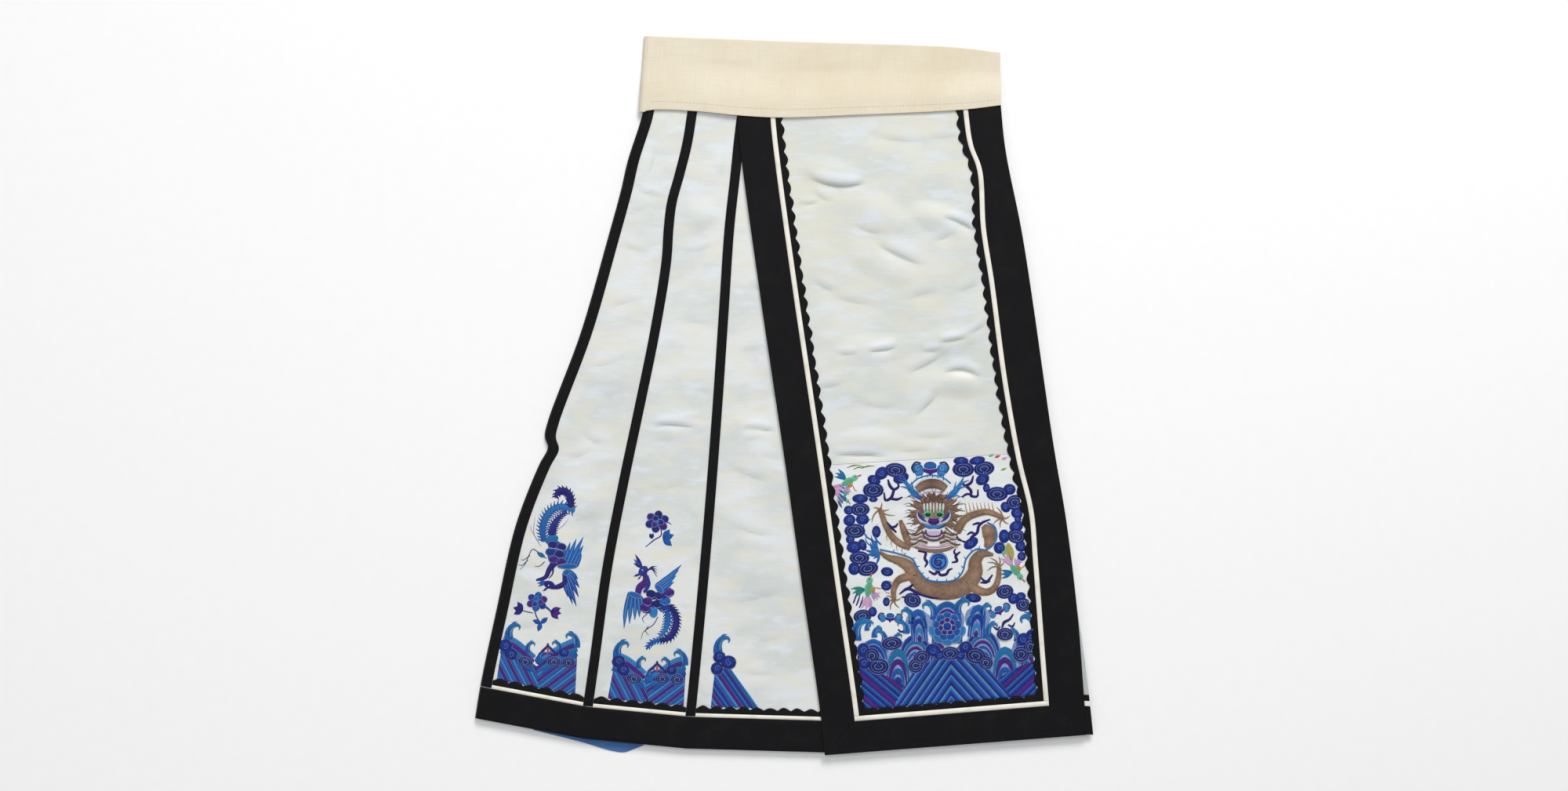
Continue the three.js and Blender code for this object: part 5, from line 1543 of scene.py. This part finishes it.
def firstGoreBird(n):  # it comes down to its flower
    plume(n, "royal azure > azure sky", [5, 7, 7, 6, 4],
          (-312, -190, -314, -172, -306, -153, -290, -144, -272, -150))
    plume(n, "ink navy > navy purple", [6, 7, 7, 6, 3],
          (-279, -146, -277, -136, -283, -125, -293, -124, -297, -133), 2.6, 3.6)
    plume(n, "navy purple > royal", [8, 7, 4, 1], (-302, -182, -299, -168, -291, -157, -282, -151), 2.4, 3.4)
    for points in ((-316, -196, -325, -180, -324, -158), (-318, -192, -328, -176, -330, -170),
                   (-296, -176, -286, -168, -280, -160)):
        n.stitch("lilac", [0.8, 1.1, 0.4], *points)
    wing(n, ((-293, -222), (-270, -222)),
         [(-284, -199), (-278, -191), (-270, -186), (-261, -184), (-261, -195), (-263, -206)],
         "royal azure > azure")
    wing(n, ((-286, -232), (-280, -228)),
         [(-281, -262), (-275, -271), (-270, -274), (-267, -262), (-266, -250), (-268, -239)],
         "royal azure > royal")
    n.oval("teal azure", -302, -187, 9, 6, 20, layer=2)
    n.oval("azure royal", -297, -204, 15, 10.5, 78, layer=1)
    for k, (x, y, colours) in enumerate((
            (-300, -194, "navy purple"), (-290, -197, "ink navy"), (-303, -203, "navy royal"),
            (-292, -206, "ink navy"), (-299, -213, "plum purple"), (-290, -216, "plum purple"))):
        n.oval(colours, x, y, 7.4, 5.4, -10 + 8 * (k % 3), layer=3)
        n.ring("mist", x, y, 6.6, 4.6, 0.45, turn=-10 + 8 * (k % 3), layer=5)
    n.stitch("pale", [0.8, 1, 0.8], -306, -199, -297, -199, -286, -202, layer=6)
    for points, widths in (((-297, -216, -305, -226, -310, -236, -322, -240), [9.5, 7, 5.5, 2.6]),
                           ((-285, -231, -284, -242, -292, -248, -303, -250), [4, 7, 7, 4]),
                           ((-300, -222, -301, -232, -306, -238), [2.6, 2, 1])):
        n.stitch("purple navy", widths, *points, layer=2)
    n.oval("purple navy", -305, -246, 7.5, 5, -20, layer=3)
    n.petal("navy", -307, -250, 212, 8, 2.6, layer=3)
    for turn in (160, 184, 205):
        n.petal("royal azure", -309, -243, turn, 12, 3.2, layer=2)
    n.oval("white", -306, -247, 1, 0.9, 0, layer=6)
    for points in ((-309, -212, -322, -202, -327, -200, -337, -220, -343, -226),
                   (-330, -208, -339, -214, -342, -213), (-333, -214, -341, -221, -345, -220),
                   (-311, -216, -318, -222, -324, -222)):
        n.stitch("purple", [1.2, 1.1, 0.6], *points)
    n.petal("teal azure", -311, -210, 150, 12, 6, layer=1)
    flower(n, -321, -268, 1.1)
    n.stitch("navy", [1.8, 1.6, 1.2], -325, -276, -322, -287, -316, -297)
    n.stitch("navy", [1.2, 1.4, 1.2], -326, -283, -335, -281, -341, -279)
    leaves(n, -340, -279, (120, 165, 205), 12, "navy purple")
    leaves(n, -303, -281, (-10, -45, 20), 13, "purple plum")
    leaves(n, -316, -296, (160, 250, 40), 11, "royal azure")
    n.stitch("royal", [3, 3, 1.6], -314, -272, -307, -277, -302, -282)


def secondGoreBird(n):  # a sprig, and the bird that rises to it
    flower(n, -165, -164, 1.25, ("purple navy", "ink navy", "plum purple"))
    n.stitch("navy", [1.4, 1.6, 1.6, 1], -160, -172, -160, -182, -169, -188, -180, -197)
    n.stitch("navy", [0.6, 1.6, 1], -146, -168, -151, -165, -156, -166)
    leaves(n, -157, -186, (20, -40, 55), 14, "royal azure")
    leaves(n, -172, -186, (75, 110), 7, "navy")
    wing(n, ((-166, -247), (-158, -256)),
         [(-133, -220), (-137, -227), (-140, -234), (-143, -242), (-147, -250)], "royal azure > azure")
    wing(n, ((-201, -257), (-186, -262)),
         [(-208, -303), (-201, -297), (-194, -292), (-188, -288), (-183, -280)], "royal azure > azure sky")
    n.stitch("plum purple", [5, 9, 9.5, 7], -181, -231, -180, -242, -188, -250, -190, -260, layer=2)
    n.stitch("royal purple", [3.6, 5, 4], -178, -234, -176, -246, -182, -256, layer=3)
    n.oval("purple royal", -183, -228, 7.4, 5.4, 50, layer=3)
    n.petal("navy", -187, -232, 200, 9, 2.8, layer=3)
    n.petal("navy", -186, -235, 226, 6, 2, layer=3)
    for turn, length in ((118, 20), (135, 16), (152, 13)):
        n.petal("royal azure" if turn == 135 else "navy purple", -184, -224, turn, length, 4, layer=2)
    for turn in (52, 30, 8, -14):
        n.stitch("purple", [1.8, 1.6, 0.5], -178, -228, -172 + turn * 0.02, -225 + turn * 0.05,
                 -165, -233 + turn * 0.2)
    n.oval("white", -184, -227, 1, 0.9, 0, layer=6)
    for k, (x, y, colours) in enumerate((
            (-172, -259, "ink navy"), (-162, -261, "navy purple"), (-150, -257, "plum purple"),
            (-177, -269, "plum purple"), (-165, -272, "ink navy"), (-155, -268, "royal azure"),
            (-180, -277, "plum purple"), (-156, -276, "navy royal"))):
        n.oval(colours, x, y, 7.8, 5.8, -30 + 25 * (k % 3), layer=3)
        n.stitch("pale", [0.5, 0.8, 0.5], x - 5, y - 2, x, y - 4.6, x + 5, y - 2, layer=5)
    n.oval("sky azure", -170, -281, 6, 8, 10, layer=2)
    plume(n, "royal azure > azure sky", [5, 6, 6, 4, 2],
          (-152, -278, -151, -292, -155, -306, -162, -314), 3, 4.2)
    plume(n, "ink navy > navy purple > navy", [4, 6, 7, 6, 4],
          (-149, -272, -140.5, -286, -141.5, -303, -149, -315, -161, -318.5), 3, 3.8)
    plume(n, "royal azure", [4, 3.6, 2], (-161, -318, -172, -321, -179, -330), 2.4, 4)
    for points in ((-164, -288, -170, -298, -183, -308, -186, -318), (-176, -300, -180, -306, -176, -312),
                   (-178, -284, -184, -290, -182, -296)):
        n.stitch("purple", [1.2, 1.1, 0.5], *points)


def goreWaves():
    n = Needle(goreTop, goreOpen)
    waterField(
        n, ([(-368, -334), (-375, -379), (-318, -391), (-322, -352), (-346, -334)],
            [(-322, -352), (-318, -391), (-272, -398), (-269, -338), (-298, -342)]), (-63, 37),
        (((-364, -313, -350, -319, -338, -328, -324, -340), (-1.4, -6.2)),
         ((-269, -317, -284, -323, -298, -331, -314, -342), (0, -6.2))),
        [(-336, -346, 8.6, 5.6, -14, -90), (-299, -346, 8, 5.4, 0, -90), (-280, -347, 7.4, 6, 0, -90)],
        [(-362, -325, 7.5, 7, 0), (-355, -336, 7.5, 6.5, -30), (-286, -334, 6, 5, 0)],
        [(-354, -308, 1.05, 1), (-331, -328, 0.7, 1), (-273.5, -319, 0.95, -1), (-294, -327, 0.7, -1),
         (-316, -339, 0.6, 1)],
        (-307, -331))
    waterField(
        n, ([(-222, -356), (-230.5, -401), (-175, -408), (-180, -371), (-204, -357)],
            [(-180, -371), (-175, -408), (-131, -413), (-128, -360), (-155, -364)]), (-63, 37),
        (((-219, -336, -206, -341, -193, -350, -180, -361), (-1.4, -6.2)),
         ((-128, -341, -142, -345, -154, -353, -170, -364), (0, -6.2))),
        [(-195, -368, 8.6, 5.6, -14, -90), (-158, -368, 8, 5.4, 0, -90), (-139, -369, 7.4, 6, 0, -90)],
        [(-215, -346, 7.5, 7, 0), (-209, -357, 7.5, 6.5, -30), (-146, -357, 6, 5, 0)],
        [(-213, -331, 1.05, 1), (-187, -348, 0.7, 1), (-133, -342, 0.95, -1), (-152, -349, 0.7, -1),
         (-174, -361, 0.6, 1)],
        (-165, -354))
    shades = ["royal azure sky", "purple plum", "navy royal azure", "navy royal"]
    stripes(n, [(-89, -350), (-96.5, -417), (-24, -418), (-73, -350)], -55, 5.4, shades)
    n.placeAt(0, 0)
    n.stitch("azure royal", [5, 9, 13, 17], -84, -328, -84, -336, -82, -344, -81, -353, layer=2, across=6)
    hook(n, -82, -325, 1.1, 1, layer=3)
    for row in ((-84, -340, 7, 6.5, 0), (-72, -347, 8.5, 7.5, 0), (-87, -355, 7, 7, 0)):
        cloudPuff(n, *row, layer=5)
    return n


def embroider():
    clouds = faceClouds()
    faceBirds(clouds)
    clouds.finish("cloudsAndBirds", "block_satin")
    waves = faceWaves()
    waveClouds(waves)
    waves.finish("wavesAndPeony", "block_satin")
    body, silks = Needle(faceTop, faceOpen), Needle(faceTop, faceOpen)
    dragon(body, silks)
    dragonHead(silks)
    flames(silks)
    pearl(silks)
    body.finish("dragonBody", "block_satin", "couched")
    silks.finish("dragonHeadAndPearl", "block_satin")
    birds = Needle(goreTop, goreOpen)
    firstGoreBird(birds)
    secondGoreBird(birds)
    birds.finish("goreBirds", "gore_satin")
    goreWaves().finish("goreWaves", "gore_satin")


embroider()
makeSeamStitches(waistbandGrid)


def makeStudio():
    settings = {"floor": 12, "floorLevel": -0.2 * mm, "light": 0.38}
    bpy.ops.object.select_all(action="DESELECT")
    bpy.ops.mesh.primitive_plane_add(size=settings["floor"], location=(0, 0, settings["floorLevel"]))
    floor = bpy.context.object
    floor.name = "floor"
    shade = Shade("floorPaper", Roughness=0.9, Specular_IOR_Level=0.1)
    grain = shade.noise(shade.place(), 60, 3)
    shade.paint("Base Color", shade.mix(grain, (0.92, 0.92, 0.92), (0.95, 0.95, 0.95)))
    floor.data.materials.append(shade.material)
    lamps = [  # name, place, size, power, colour
        ("key", (1.5, 4.2, 3.6), 2.2, 236, (1.0, 0.995, 0.985)),
        ("sheen", (-0.3, 0.9, 3.6), 0.9, 20, (0.96, 0.98, 1.0)),
        ("fill", (-1.6, -0.9, 2.6), 2.2, 11, (0.97, 0.985, 1.0)),
    ]
    for name, place, size, power, colour in lamps:
        bpy.ops.object.light_add(type="AREA", location=place)
        lamp = bpy.context.object
        lamp.name = name
        lamp.data.size, lamp.data.energy, lamp.data.color = size, power, colour
        x, y, z = -np.array(place)  # the lamp is turned to face the skirt's middle
        lamp.rotation_euler = (math.atan2(math.hypot(x, y), -z), 0, math.atan2(y, x) - math.pi / 2)
    world = bpy.data.worlds.new("studio")
    bpy.context.scene.world = world
    world.use_nodes = True
    background = world.node_tree.nodes["Background"]
    background.inputs[0].default_value, background.inputs[1].default_value = (1, 1, 1, 1), settings["light"]
    bpy.context.scene.view_settings.view_transform = "Standard"


def makeCamera():
    view = {"height": 1.03, "lens": 85, "sensor": 36, "aspect": 2000 / 1009, "clipEnd": 50}
    width = view["height"] * view["aspect"]
    distance = width / 2 / (view["sensor"] / 2 / view["lens"])
    bpy.ops.object.camera_add(location=(0, 0, distance), rotation=(0, 0, 0))
    camera = bpy.context.object
    camera.data.lens, camera.data.sensor_width = view["lens"], view["sensor"]
    camera.data.clip_end = view["clipEnd"]
    bpy.context.scene.camera = camera


makeStudio()
makeCamera()
print("studio made")
